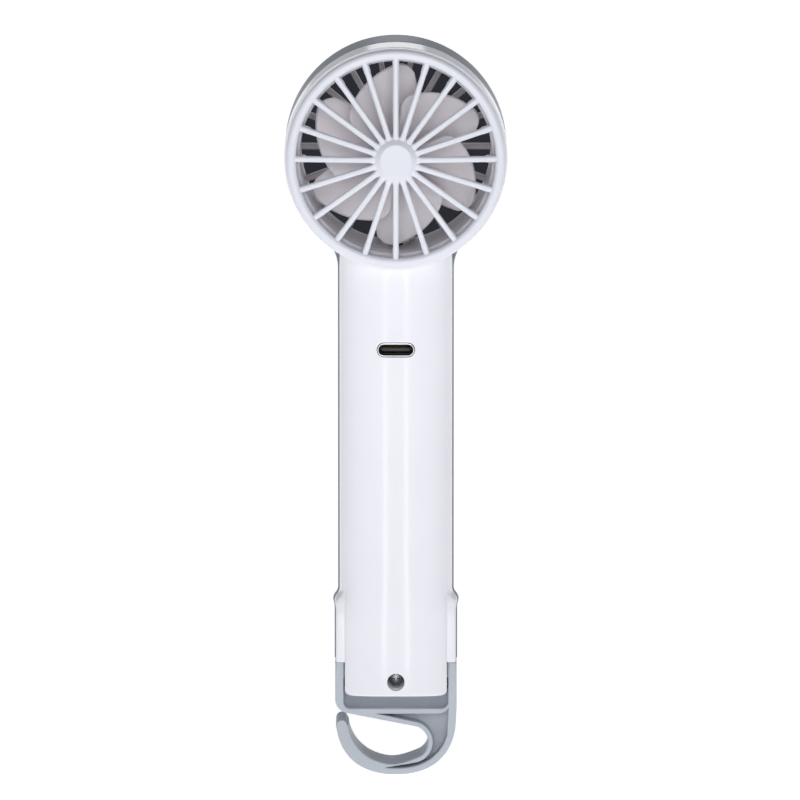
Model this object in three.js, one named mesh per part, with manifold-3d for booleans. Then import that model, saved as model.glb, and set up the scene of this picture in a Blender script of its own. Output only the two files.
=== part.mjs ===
// Handheld turbo fan: a two-piece clamshell handle and head, a rear intake grille, a ducted
// six-blade impeller on a small brushless motor, a USB-C charging board with a flat battery cell,
// a sprung power button and a fold-back hanging hook.
//
// Millimetres. +Z runs up the handle to the head, -Y is the intake side and +Y the outlet side.
// The origin is under the middle of the object, on the plane that touches the bottom of the hook.
import * as THREE from 'three';
import { mergeVertices } from 'three/addons/utils/BufferGeometryUtils.js';
import Module from 'manifold-3d';

const wasm = await Module();
wasm.setup();

// ---------------------------------------------------------------- clearances and walls
const GAP = 0.3; // between two pieces that rest on each other
const RUNNING = 0.1; // radial gap of a pin or shaft in its hole
const WALL = 1.6; // moulded shells
const SEAM_GAP = 0.2; // parting line between the two shells
const PAST = 1; // how far a cutter runs past the face that it opens

// ---------------------------------------------------------------- head, along Y
const HEAD_RADIUS = 26.9;
const HUB_RISE = 3.2; // the grille's hub stands this far behind its ring
const GRILLE_RING_HEIGHT = 2.6;
const REAR_DRUM_DEPTH = 12.6;
const FRONT_DRUM_DEPTH = 17.6;
const HEAD_DEPTH = HUB_RISE + GRILLE_RING_HEIGHT + REAR_DRUM_DEPTH + FRONT_DRUM_DEPTH;
const GRILLE_HUB_Y = -HEAD_DEPTH / 2;
const GRILLE_RING_Y = GRILLE_HUB_Y + HUB_RISE;
const DRUM_REAR_Y = GRILLE_RING_Y + GRILLE_RING_HEIGHT;
const SEAM_Y = DRUM_REAR_Y + REAR_DRUM_DEPTH;
const HEAD_FRONT_Y = SEAM_Y + FRONT_DRUM_DEPTH;

// ---------------------------------------------------------------- heights, along Z
const HOOK_OUTER_HALF_WIDTH = 14.75;
const HOOK_DROP = 16.3; // hook's bottom to its cradle floor
const SHELL_ABOVE_CRADLE = 3.6;
const HANDLE_LENGTH = 104.6; // shell's bottom to the lowest point of the drum
const HANDLE_INTO_DRUM = 5.38; // the handle's bar runs on into the drum, to close their joint
const SHELL_BOTTOM_Z = HOOK_DROP + SHELL_ABOVE_CRADLE;
const HEAD_Z = SHELL_BOTTOM_Z + HANDLE_LENGTH + HEAD_RADIUS;
const PIN_Z = SHELL_BOTTOM_Z + 3.1;
const ARM_TOP_Z = PIN_Z + 4.7;
const FLARE_TOP_Z = SHELL_BOTTOM_Z + 22.7;
const PORT_Z = HEAD_Z - HEAD_RADIUS - 19.8;
const BUTTON_Z = PORT_Z + 5;
const LENS_Z = PORT_Z - 10;

// ---------------------------------------------------------------- handle section
const GRIP_HALF_WIDTH = 14.05;
const FLARE_HALF_WIDTH = 15;
const FLARE_BLEND = 3;
const HANDLE_DEPTH = 21;
const HANDLE_SET_BACK = 3.7; // grille ring's back to the handle's rear crown
const SECTION_POWER = 2.5;
const HANDLE_REAR_Y = GRILLE_RING_Y + HANDLE_SET_BACK;
const HANDLE_FRONT_Y = HANDLE_REAR_Y + HANDLE_DEPTH;
const HANDLE_MID_Y = (HANDLE_REAR_Y + HANDLE_FRONT_Y) / 2;
const HOOK_RECESS_HALF_WIDTH = 12.4;

// ---------------------------------------------------------------- grille
const SPOKE_COUNT = 20;
const SPOKE_WIDTH = 1.36;
const SPOKE_DEPTH = 1.8;
const GRILLE_RING_OUTER = HEAD_RADIUS - 0.55;
const GRILLE_RING_INNER = 24;
const GRILLE_HUB_RADIUS = 5.3;

// ---------------------------------------------------------------- duct and outlet
const DUCT_WALL = 2;
const DUCT_OUTER = HEAD_RADIUS - WALL - GAP;
const DUCT_INNER = DUCT_OUTER - DUCT_WALL;
const VANE_COUNT = 18;
const VANE_THICKNESS = 1.2;
const VANE_DEPTH = 4.3;
const FRONT_LIP = 1.4;
const VANE_FRONT_Y = HEAD_FRONT_Y - FRONT_LIP - GAP;
const VANE_REAR_Y = VANE_FRONT_Y - VANE_DEPTH;
const SPIGOT_DEPTH = 1.8; // how far the grille plugs into the drum

// ---------------------------------------------------------------- motor
const CAN_RADIUS = 9.2;
const CAN_WALL = 0.6;
const CAN_LENGTH = 11;
const CAN_REAR_Y = SEAM_Y + 2.6;
const CAN_FRONT_Y = CAN_REAR_Y + CAN_LENGTH;
const CUP_WALL = 2;
const CUP_INNER = CAN_RADIUS + GAP;
const CUP_OUTER = CUP_INNER + CUP_WALL;
const SHAFT_RADIUS = 1;
const BEARING_RADIUS = 3;
const BEARING_LENGTH = 2.2;
const BEARING_SEAT_WALL = 1.25;
const CORE_WALL = 1.7;
const WINDING_WALL = 1.5;
const CORE_LENGTH = 4.2;
const AIR_GAP = 0.3;

// ---------------------------------------------------------------- impeller
const BLADE_COUNT = 6;
const BLADE_TIP_RADIUS = DUCT_INNER - 1.4;
const BLADE_SWEEP = THREE.MathUtils.degToRad(72);
const BLADE_RISE = 7.4;
const BLADE_THICKNESS = 1.1;
const IMPELLER_HUB_RADIUS = 5.8;
const IMPELLER_MID_Y = DRUM_REAR_Y + 5.4;
const FIRST_BLADE_ANGLE = THREE.MathUtils.degToRad(20);

// ---------------------------------------------------------------- electronics
const BOARD_THICKNESS = 1.6;
const BOARD_REAR_Y = SEAM_Y - 3;
const BOARD_FRONT_Y = BOARD_REAR_Y + BOARD_THICKNESS;
const BOARD_HALF_WIDTH = GRIP_HALF_WIDTH - WALL - 0.55;
const BOARD_LOW_Z = PORT_Z - 16.7;
const BOARD_TOP_Z = PORT_Z + 14;
const PORT_WIDTH = 8.94;
const PORT_HEIGHT = 3.26;
const PORT_WALL = 0.3;
const SWITCH_SIZE = 6;
const SWITCH_HEIGHT = 3.2;
const BUTTON_RADIUS = 5.2;
const BUTTON_PROUD = 0.6;
const BUTTON_TRAVEL = 0.5;
const BUTTON_CLEARANCE = 0.25; // round the cap, in its hole
const BUTTON_FLANGE = 0.8; // ledge that holds the cap inside the shell
const BUTTON_STEM_RADIUS = 1.6;
const PLUNGER_RADIUS = 1;
const LENS_RADIUS = 1.4;
const CELL_SIDE_ROOM = 2.95; // cell to the grip's inner wall, each side
const CELL_CROWN_ROOM = 3.4; // cell to the shells' inner crowns, each side on average
const CELL = {
  width: 2 * (GRIP_HALF_WIDTH - WALL - CELL_SIDE_ROOM),
  depth: HANDLE_DEPTH - 2 * (WALL + CELL_CROWN_ROOM),
  length: 53,
};
const CELL_TOP_Z = BOARD_LOW_Z - 2;
const CELL_MID_Y = HANDLE_MID_Y - GAP;
const PAD_INSET = 3.5; // pad's edge inside the cell's edge
const PAD_END_INSET = 6; // pad's end inside the cell's end
const PAD_WIDTH = CELL.width - 2 * PAD_INSET;
const PAD_REAR_GAP = 1; // pad to the rear crown, where the crown curves down over its edges
const PAD_FRONT_GAP = 0.9; // pad to the front crown
const WIRE_RADIUS = 0.5;
const WIRE_SPACING = 2.4;
const WIRE_HOLE_Y = SEAM_Y + 3.6;
const WIRE_HOLE_HALF_DEPTH = 2;
const LEAD_HALF_SPACING = 5; // cell leads

// ---------------------------------------------------------------- screw and hook
const SCREW_Z = PIN_Z + 0.4;
const SCREW_SHANK = 1;
const SCREW_HEAD_RADIUS = 1.95;
const SCREW_HEAD_HEIGHT = 1.5;
const SCREW_RECESS_RADIUS = 2.1;
const SCREW_RECESS_DEPTH = 8.9;
const BOSS_WALL = 1.2;
const HOOK_DEPTH = 13;
const ARM_THICKNESS = HOOK_OUTER_HALF_WIDTH - HOOK_RECESS_HALF_WIDTH - GAP;
const HOOK_REAR_Y = HANDLE_MID_Y - HOOK_DEPTH / 2;
const HOOK_FRONT_Y = HANDLE_MID_Y + HOOK_DEPTH / 2;
const PIN_RADIUS = 0.65;
const PIN_Y = HOOK_REAR_Y + 1.6;
const POCKET_DEPTH = 4.5; // each side of the hook's web

// ---------------------------------------------------------------- solids and geometries

/** A manifold solid from any closed three.js geometry. */
function solid(geometry) {
  const welded = closed(geometry);
  return new wasm.Manifold(new wasm.Mesh({
    numProp: 3,
    vertProperties: new Float32Array(welded.attributes.position.array),
    triVerts: new Uint32Array(welded.index.array),
  }));
}

/** The geometry with shared vertices and with its faces turned outward. */
function closed(geometry) {
  const bare = geometry.clone();
  bare.deleteAttribute('normal');
  bare.deleteAttribute('uv');
  const welded = mergeVertices(bare, 1e-4);
  if (signedVolume(welded) < 0) {
    const index = welded.index.array;
    for (let i = 0; i < index.length; i += 3) {
      [index[i], index[i + 1]] = [index[i + 1], index[i]];
    }
  }
  return welded;
}

/** Six times the enclosed volume, negative where the faces point inward. */
function signedVolume(geometry) {
  const index = geometry.index.array;
  const corners = [new THREE.Vector3(), new THREE.Vector3(), new THREE.Vector3()];
  let sum = 0;
  for (let i = 0; i < index.length; i += 3) {
    corners.forEach((corner, k) => corner.fromBufferAttribute(geometry.attributes.position, index[i + k]));
    sum += corners[0].dot(corners[1].clone().cross(corners[2]));
  }
  return sum;
}

/** A three.js geometry from a manifold solid. */
function geometryOf(manifold) {
  const mesh = manifold.getMesh();
  const geometry = new THREE.BufferGeometry();
  geometry.setAttribute('position', new THREE.BufferAttribute(new Float32Array(mesh.vertProperties), 3));
  geometry.setIndex(new THREE.BufferAttribute(new Uint32Array(mesh.triVerts), 1));
  geometry.computeVertexNormals();
  return geometry;
}

/** A box between two corners. */
function box([x0, y0, z0], [x1, y1, z1]) {
  const geometry = new THREE.BoxGeometry(x1 - x0, y1 - y0, z1 - z0);
  geometry.translate((x0 + x1) / 2, (y0 + y1) / 2, (z0 + z1) / 2);
  return geometry;
}

/** A cylinder along Y, from y0 to y1, about the line through x and z. */
function cylinderY(radius, y0, y1, x, z, segments = 16) {
  const geometry = new THREE.CylinderGeometry(radius, radius, y1 - y0, segments);
  geometry.translate(x, (y0 + y1) / 2, z);
  return geometry;
}

/** A cylinder along X, from x0 to x1, about the line through y and z. */
function cylinderX(radius, x0, x1, y, z, segments = 12) {
  const geometry = new THREE.CylinderGeometry(radius, radius, x1 - x0, segments);
  geometry.rotateZ(Math.PI / 2);
  geometry.translate((x0 + x1) / 2, y, z);
  return geometry;
}

/** A solid of revolution about the head's axis from [radius, y] pairs, closed on itself. */
function turned(profile, segments = 40) {
  const points = [...profile, profile[0]].map(([radius, y]) => new THREE.Vector2(radius, y));
  const geometry = new THREE.LatheGeometry(points, segments);
  geometry.translate(0, 0, HEAD_Z);
  return geometry;
}

/** A solid of revolution whose [radius, y] profile starts and ends on the head's axis. */
function turnedCap(profile, segments = 24) {
  const points = profile.map(([radius, y]) => new THREE.Vector2(radius, y));
  const geometry = new THREE.LatheGeometry(points, segments);
  geometry.translate(0, 0, HEAD_Z);
  return geometry;
}

/** A flat ring of rectangular section about the head's axis. */
function ring(outer, inner, y0, y1, segments = 40) {
  return turned([[outer, y0], [outer, y1], [inner, y1], [inner, y0]], segments);
}

/** A plate with its outline in X and Z, from y0 to y1. */
function plate(shape, y0, y1, curveSegments = 10) {
  const geometry = new THREE.ExtrudeGeometry(shape, { depth: y1 - y0, bevelEnabled: false, curveSegments });
  geometry.rotateX(Math.PI / 2);
  geometry.translate(0, y1, 0);
  return geometry;
}

/** A rounded rectangle about (x, z), used for the port and its hole. */
function slotShape(width, height, x, z, radius = height / 2 - 0.01) {
  const shape = new THREE.Shape();
  const [left, right, low, high] = [x - width / 2, x + width / 2, z - height / 2, z + height / 2];
  shape.moveTo(left + radius, low);
  shape.lineTo(right - radius, low);
  shape.absarc(right - radius, low + radius, radius, -Math.PI / 2, 0);
  shape.lineTo(right, high - radius);
  shape.absarc(right - radius, high - radius, radius, 0, Math.PI / 2);
  shape.lineTo(left + radius, high);
  shape.absarc(left + radius, high - radius, radius, Math.PI / 2, Math.PI);
  shape.lineTo(left, low + radius);
  shape.absarc(left + radius, low + radius, radius, Math.PI, 1.5 * Math.PI);
  return shape;
}

/** A round tube along a smooth curve through the points. */
function wire(points, radius = WIRE_RADIUS, steps = 12) {
  const section = new THREE.Shape();
  section.absarc(0, 0, radius, 0, 2 * Math.PI);
  const path = new THREE.CatmullRomCurve3(points.map((point) => new THREE.Vector3(...point)));
  return new THREE.ExtrudeGeometry(section, { steps, extrudePath: path, curveSegments: 4 });
}

// ---------------------------------------------------------------- handle

/** Half-width of the handle at a height: the flare below, the grip above, blended between them. */
function halfWidthAt(z) {
  const blend = THREE.MathUtils.smoothstep(z, FLARE_TOP_Z - FLARE_BLEND / 2, FLARE_TOP_Z + FLARE_BLEND / 2);
  return THREE.MathUtils.lerp(FLARE_HALF_WIDTH, GRIP_HALF_WIDTH, blend);
}

/** The handle's oval bar between two heights, with every side moved in by inset. */
function handleBar(inset, lowZ, highZ, segments = 32) {
  const blendLow = FLARE_TOP_Z - FLARE_BLEND / 2;
  const stations = [lowZ, blendLow, blendLow + FLARE_BLEND / 2, blendLow + FLARE_BLEND, highZ]
    .filter((z) => z >= lowZ && z <= highZ);
  const geometry = new THREE.CylinderGeometry(1, 1, stations.length - 1, segments, stations.length - 1);
  geometry.rotateX(Math.PI / 2);
  geometry.translate(0, 0, (stations.length - 1) / 2);
  const position = geometry.attributes.position;
  for (let i = 0; i < position.count; i += 1) {
    const z = stations[Math.round(position.getZ(i))];
    const x = oval(position.getX(i)) * (halfWidthAt(z) - inset);
    const depth = position.getY(i) < 0 ? SEAM_Y - HANDLE_REAR_Y : HANDLE_FRONT_Y - SEAM_Y;
    position.setXYZ(i, x, SEAM_Y + oval(position.getY(i)) * (depth - inset), z);
  }
  return geometry;
}

/** Turns a circle's coordinate into that of a superellipse. */
function oval(value) {
  return Math.sign(value) * Math.abs(value) ** (2 / SECTION_POWER);
}

/** The closed drum and handle that both shells are cut from. */
function housingOutside() {
  const drum = solid(cylinderY(HEAD_RADIUS, DRUM_REAR_Y, HEAD_FRONT_Y, 0, HEAD_Z, 48));
  return drum.add(solid(handleBar(0, SHELL_BOTTOM_Z, HEAD_Z - HEAD_RADIUS + HANDLE_INTO_DRUM)));
}

/** The space inside both shells: the drum's bore, the grip's cavity and the narrower foot. */
function housingInside() {
  const boreEnd = HEAD_FRONT_Y - FRONT_LIP;
  const bore = solid(cylinderY(HEAD_RADIUS - WALL, DRUM_REAR_Y - PAST, boreEnd, 0, HEAD_Z, 48));
  const mouth = solid(cylinderY(DUCT_INNER + GAP, DRUM_REAR_Y, HEAD_FRONT_Y + PAST, 0, HEAD_Z, 48));
  const gripLow = ARM_TOP_Z + WALL + GAP;
  const grip = solid(handleBar(WALL, gripLow, HEAD_Z - HEAD_RADIUS - WALL));
  const footHalf = HOOK_RECESS_HALF_WIDTH - WALL;
  const foot = solid(handleBar(WALL, SHELL_BOTTOM_Z + WALL, gripLow + WALL))
    .intersect(solid(box([-footHalf, HANDLE_REAR_Y, 0], [footHalf, HANDLE_FRONT_Y, HEAD_Z])));
  const half = WIRE_SPACING / 2 + 2 * WIRE_RADIUS;
  const wireHole = box(
    [-half, WIRE_HOLE_Y - WIRE_HOLE_HALF_DEPTH, HEAD_Z - HEAD_RADIUS - 2 * WALL],
    [half, WIRE_HOLE_Y + WIRE_HOLE_HALF_DEPTH, HEAD_Z - HEAD_RADIUS + 2 * WALL],
  );
  return bore.add(mouth).add(grip).add(foot).add(solid(wireHole));
}

/** The two side recesses that the hook's arms turn in. */
function hookRecesses() {
  const armHeadroom = 0.5;
  const high = ARM_TOP_Z + armHeadroom;
  const reach = FLARE_HALF_WIDTH + PAST;
  const low = SHELL_BOTTOM_Z - PAST;
  const side = (x0, x1) => solid(box([x0, HANDLE_REAR_Y - PAST, low], [x1, HANDLE_FRONT_Y + PAST, high]));
  return side(-reach, -HOOK_RECESS_HALF_WIDTH).add(side(HOOK_RECESS_HALF_WIDTH, reach));
}

function makeHousing() {
  return housingOutside().subtract(housingInside()).subtract(hookRecesses());
}

function halfSpace(rear) {
  const far = 2 * HEAD_Z;
  const seam = SEAM_Y + (rear ? -1 : 1) * (SEAM_GAP / 2);
  return solid(rear ? box([-far, -far, -far], [far, seam, far]) : box([-far, seam, -far], [far, far, far]));
}

/** Intake half: the drum's rear band, the handle's back, the screw tube and the port's hole. */
function makeRearShell(housing) {
  const shoulderY = HANDLE_REAR_Y + SCREW_RECESS_DEPTH;
  const tubeRadius = SCREW_RECESS_RADIUS + BOSS_WALL;
  const tube = solid(cylinderY(tubeRadius, HANDLE_REAR_Y + WALL / 2, SEAM_Y - SEAM_GAP / 2, 0, SCREW_Z));
  const recess = solid(cylinderY(SCREW_RECESS_RADIUS, HANDLE_REAR_Y - PAST, shoulderY, 0, SCREW_Z));
  const through = solid(cylinderY(SCREW_SHANK + GAP, HANDLE_REAR_Y, SEAM_Y, 0, SCREW_Z));
  const port = solid(plate(
    slotShape(PORT_WIDTH + GAP, PORT_HEIGHT + GAP, 0, PORT_Z),
    HANDLE_REAR_Y - PAST,
    HANDLE_REAR_Y + 2 * WALL,
  ));
  const pinHoles = solid(cylinderX(PIN_RADIUS + RUNNING, -FLARE_HALF_WIDTH, FLARE_HALF_WIDTH, PIN_Y, PIN_Z));
  return housing.intersect(halfSpace(true)).add(tube)
    .subtract(recess).subtract(through).subtract(port).subtract(pinHoles);
}

/** Outlet half: the bezel, the handle's front, the screw boss and the button's and lens's holes. */
function makeFrontShell(housing) {
  const bossRadius = SCREW_SHANK + RUNNING + BOSS_WALL;
  const boss = solid(cylinderY(bossRadius, SEAM_Y + SEAM_GAP / 2, HANDLE_FRONT_Y - WALL / 2, 0, SCREW_Z));
  const pilot = solid(cylinderY(SCREW_SHANK + RUNNING, SEAM_Y, HANDLE_FRONT_Y - 2 * WALL, 0, SCREW_Z));
  const [start, end] = [SEAM_Y + 4, HANDLE_FRONT_Y + PAST]; // clear of the board, past the skin
  const button = solid(cylinderY(BUTTON_RADIUS + BUTTON_CLEARANCE, start, end, 0, BUTTON_Z, 24));
  const lens = solid(cylinderY(LENS_RADIUS + RUNNING, start, end, 0, LENS_Z));
  return housing.intersect(halfSpace(false)).add(boss).subtract(pilot).subtract(button).subtract(lens);
}

// ---------------------------------------------------------------- grille

/** One spoke, standing along +X: a bar that climbs from the ring to the hub. */
function spokeShape() {
  const shape = new THREE.Shape();
  const outerX = GRILLE_RING_INNER + 0.8;
  const innerX = GRILLE_HUB_RADIUS - 1;
  const ringTop = GRILLE_RING_Y + 0.5;
  const hubTop = GRILLE_HUB_Y + 0.7;
  const bend = THREE.MathUtils.lerp(innerX, outerX, 0.5);
  const bendTop = THREE.MathUtils.lerp(hubTop, ringTop, 0.38);
  shape.moveTo(outerX, ringTop);
  shape.quadraticCurveTo(bend, bendTop, innerX, hubTop);
  shape.lineTo(innerX, hubTop + SPOKE_DEPTH);
  shape.quadraticCurveTo(bend, bendTop + SPOKE_DEPTH, outerX, ringTop + SPOKE_DEPTH);
  return shape;
}

function spoke(angle) {
  const geometry = new THREE.ExtrudeGeometry(spokeShape(), {
    depth: SPOKE_WIDTH,
    bevelEnabled: false,
    curveSegments: 3,
  });
  geometry.translate(0, 0, -SPOKE_WIDTH / 2);
  geometry.rotateY(-angle);
  geometry.translate(0, 0, HEAD_Z);
  return geometry;
}

/** Intake grille: a round-backed ring with a plug-in rim, its hub and its spokes. */
function makeRearGrille() {
  const back = GRILLE_RING_Y;
  const seat = DRUM_REAR_Y - GAP;
  const rimOuter = HEAD_RADIUS - WALL - GAP;
  const rimEnd = DRUM_REAR_Y + SPIGOT_DEPTH;
  const third = (GRILLE_RING_OUTER - GRILLE_RING_INNER) / 3;
  const profile = [
    [GRILLE_RING_OUTER, seat],
    [GRILLE_RING_OUTER, back + 0.9],
    [GRILLE_RING_OUTER - third / 2, back + 0.25],
    [GRILLE_RING_OUTER - third, back], [GRILLE_RING_INNER + third, back], [GRILLE_RING_INNER, back + 0.7],
    [GRILLE_RING_INNER, rimEnd], [rimOuter, rimEnd], [rimOuter, seat],
  ];
  let grille = solid(turned(profile, 48));
  const hub = [
    [0, GRILLE_HUB_Y], [3.6, GRILLE_HUB_Y], [4.6, GRILLE_HUB_Y + 0.45],
    [GRILLE_HUB_RADIUS, GRILLE_HUB_Y + 1.3],
    [GRILLE_HUB_RADIUS, GRILLE_HUB_Y + 2.6], [0, GRILLE_HUB_Y + 2.6],
  ];
  grille = grille.add(solid(turnedCap(hub, 24)));
  for (let i = 0; i < SPOKE_COUNT; i += 1) {
    grille = grille.add(solid(spoke((2 * Math.PI * i) / SPOKE_COUNT)));
  }
  return grille;
}

// ---------------------------------------------------------------- duct and outlet

/** The duct's liner, notched at the bottom for the motor wires. */
function makeDuct() {
  const start = DRUM_REAR_Y + SPIGOT_DEPTH + GAP;
  const liner = solid(ring(DUCT_OUTER, DUCT_INNER, start, VANE_REAR_Y - GAP, 48));
  const half = WIRE_SPACING / 2 + 2 * WIRE_RADIUS;
  const notch = box(
    [-half, WIRE_HOLE_Y - WIRE_HOLE_HALF_DEPTH, HEAD_Z - HEAD_RADIUS],
    [half, WIRE_HOLE_Y + WIRE_HOLE_HALF_DEPTH, HEAD_Z - DUCT_INNER + PAST],
  );
  return liner.subtract(solid(notch));
}

/** Outlet frame: a rim, the motor's cup, straight vanes between them and the wire guide. */
function makeMotorFrame() {
  const cupRear = CAN_REAR_Y - GAP - 0.7;
  const cupFront = HEAD_FRONT_Y - 1;
  const cup = solid(turned([
    [CUP_OUTER, cupRear], [CUP_OUTER, cupFront], [CUP_INNER, cupFront],
    [CUP_INNER, CAN_REAR_Y - GAP], [CUP_INNER - 2, CAN_REAR_Y - GAP], [CUP_INNER - 2, cupRear],
  ], 30));
  let frame = cup.add(solid(ring(DUCT_OUTER, DUCT_INNER, VANE_REAR_Y, VANE_FRONT_Y, 48)));
  const inner = CUP_OUTER - CUP_WALL / 2;
  const outer = DUCT_INNER + DUCT_WALL / 2;
  for (let i = 0; i < VANE_COUNT; i += 1) {
    const vane = box([inner, VANE_REAR_Y, -VANE_THICKNESS / 2], [outer, VANE_FRONT_Y, VANE_THICKNESS / 2]);
    vane.rotateY((-2 * Math.PI * i) / VANE_COUNT);
    vane.translate(0, 0, HEAD_Z);
    frame = frame.add(solid(vane));
  }
  const guideX = WIRE_SPACING / 2 + 2 * WIRE_RADIUS;
  const guide = box(
    [guideX, WIRE_HOLE_Y - 1.5, HEAD_Z - DUCT_INNER + 1],
    [guideX + 1, VANE_REAR_Y + 1, HEAD_Z - inner],
  );
  return frame.add(solid(guide));
}

/** Cap that closes the motor's cup on the outlet side. */
function makeMotorCap() {
  const seat = HEAD_FRONT_Y - 1 + RUNNING;
  const plugEnd = CAN_FRONT_Y + GAP;
  return turnedCap([
    [0, plugEnd], [CUP_INNER - RUNNING, plugEnd], [CUP_INNER - RUNNING, seat], [CUP_OUTER - 0.2, seat],
    [CUP_OUTER - 1, HEAD_FRONT_Y - 0.35], [CUP_OUTER - 4, HEAD_FRONT_Y - 0.1], [0, HEAD_FRONT_Y - 0.05],
  ], 30);
}

// ---------------------------------------------------------------- motor

const BORE = SHAFT_RADIUS + RUNNING * 0.7; // what rides on the shaft or turns round it
const SEAT_BORE = BEARING_RADIUS + RUNNING * 0.7;
const SEAT_OUTER = BEARING_RADIUS + BEARING_SEAT_WALL;
const CORE_OUTER = CAN_RADIUS - CAN_WALL - GAP;
const CORE_INNER = CORE_OUTER - CORE_WALL;
const WINDING_OUTER = CORE_INNER - 0.2;
const WINDING_INNER = WINDING_OUTER - WINDING_WALL;
const MOTOR_MID_Y = (CAN_REAR_Y + CAN_FRONT_Y) / 2;

/** Steel can, open on the outlet side, with a bearing seat in its rear wall. */
function makeMotorCan() {
  const bore = CAN_RADIUS - CAN_WALL;
  const seatEnd = CAN_REAR_Y + BEARING_LENGTH + 0.6;
  return turned([
    [CAN_RADIUS, CAN_REAR_Y], [CAN_RADIUS, CAN_FRONT_Y], [bore, CAN_FRONT_Y], [bore, CAN_REAR_Y + 0.8],
    [SEAT_OUTER, CAN_REAR_Y + 0.8], [SEAT_OUTER, seatEnd], [SEAT_BORE, seatEnd], [SEAT_BORE, CAN_REAR_Y],
  ], 24);
}

/** End plate pressed into the can, with the outlet-side bearing seat. */
function makeMotorEndPlate() {
  const outer = CAN_RADIUS - CAN_WALL - RUNNING;
  const face = CAN_FRONT_Y - 0.3;
  const seatEnd = face - BEARING_LENGTH - 0.4;
  return turned([
    [outer, face - 0.8], [outer, face], [SEAT_BORE, face], [SEAT_BORE, seatEnd], [SEAT_OUTER, seatEnd],
    [SEAT_OUTER, face - 0.8],
  ], 24);
}

function bearing(y0) {
  return ring(BEARING_RADIUS, BORE, y0, y0 + BEARING_LENGTH, 24);
}

function motorRing(outer, inner, length) {
  return ring(outer, inner, MOTOR_MID_Y - length / 2, MOTOR_MID_Y + length / 2, 24);
}

function makeShaft() {
  return cylinderY(SHAFT_RADIUS, IMPELLER_MID_Y - 3, CAN_FRONT_Y - 0.4, 0, HEAD_Z, 24);
}

// ---------------------------------------------------------------- impeller

/** One blade: a bar bent round the axis, rising towards the intake, with a rounded tip. */
function blade(angle) {
  const geometry = new THREE.BoxGeometry(1, 1, 1, 5, 1, 6);
  const position = geometry.attributes.position;
  const root = IMPELLER_HUB_RADIUS - 0.6;
  for (let i = 0; i < position.count; i += 1) {
    const along = position.getX(i) + 0.5;
    const across = position.getZ(i);
    const rounding = Math.sqrt(1 - 0.96 * THREE.MathUtils.clamp((along - 0.66) / 0.34, 0, 1) ** 2);
    const taper = THREE.MathUtils.lerp(0.9, 1, along) * rounding;
    const turn = angle + across * BLADE_SWEEP * taper;
    const radius = root + along * (BLADE_TIP_RADIUS - root);
    const y = IMPELLER_MID_Y - across * BLADE_RISE * taper + position.getY(i) * BLADE_THICKNESS;
    position.setXYZ(i, radius * Math.cos(turn), y, HEAD_Z + radius * Math.sin(turn));
  }
  return geometry;
}

/** Six-blade impeller with a domed hub, bored for the shaft. */
function makeImpeller() {
  const half = BLADE_RISE / 2 + 0.6;
  const [nose, foot] = [IMPELLER_MID_Y - half - 0.6, IMPELLER_MID_Y + half];
  let impeller = solid(turnedCap([
    [0, nose], [IMPELLER_HUB_RADIUS * 0.55, nose + 0.3], [IMPELLER_HUB_RADIUS * 0.9, nose + 1.3],
    [IMPELLER_HUB_RADIUS, nose + 2.6], [IMPELLER_HUB_RADIUS, foot], [0, foot],
  ], 24));
  for (let i = 0; i < BLADE_COUNT; i += 1) {
    impeller = impeller.add(solid(blade(FIRST_BLADE_ANGLE + (2 * Math.PI * i) / BLADE_COUNT)));
  }
  return impeller.subtract(solid(cylinderY(BORE, IMPELLER_MID_Y - 3 - GAP, foot + 1, 0, HEAD_Z, 24)));
}

// ---------------------------------------------------------------- charging board

function makeBoard() {
  return box([-BOARD_HALF_WIDTH, BOARD_REAR_Y, BOARD_LOW_Z], [BOARD_HALF_WIDTH, BOARD_FRONT_Y, BOARD_TOP_Z]);
}

/** Metal sleeve of the charging port, from the board to the shell's skin. */
function makePortShell() {
  const shape = slotShape(PORT_WIDTH, PORT_HEIGHT, 0, PORT_Z);
  shape.holes.push(slotShape(PORT_WIDTH - 2 * PORT_WALL, PORT_HEIGHT - 2 * PORT_WALL, 0, PORT_Z));
  return plate(shape, HANDLE_REAR_Y + 0.1, BOARD_REAR_Y - GAP, 3);
}

/** Insulator of the port: a block at the back of the sleeve with the contact tongue. */
function makePortTongue() {
  const inset = 2 * (PORT_WALL + 0.08);
  const block = plate(
    slotShape(PORT_WIDTH - inset, PORT_HEIGHT - inset, 0, PORT_Z),
    HANDLE_REAR_Y + 5.6,
    BOARD_REAR_Y - GAP,
    3,
  );
  const tongue = box([-3.35, HANDLE_REAR_Y + 0.9, PORT_Z - 0.35], [3.35, HANDLE_REAR_Y + 6, PORT_Z + 0.35]);
  return solid(block).add(solid(tongue));
}

function makeTactSwitch() {
  const half = SWITCH_SIZE / 2;
  const rear = BOARD_FRONT_Y + GAP;
  const body = box([-half, rear, BUTTON_Z - half], [half, rear + SWITCH_HEIGHT, BUTTON_Z + half]);
  const well = cylinderY(PLUNGER_RADIUS + RUNNING, rear + 0.5, rear + SWITCH_HEIGHT + 1, 0, BUTTON_Z, 12);
  return solid(body).subtract(solid(well));
}

function makeSwitchPlunger() {
  const top = BOARD_FRONT_Y + GAP + SWITCH_HEIGHT + 0.8;
  const rest = BOARD_FRONT_Y + GAP + 0.5 + BUTTON_TRAVEL + GAP;
  return cylinderY(PLUNGER_RADIUS, rest, top, 0, BUTTON_Z, 12);
}

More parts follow.
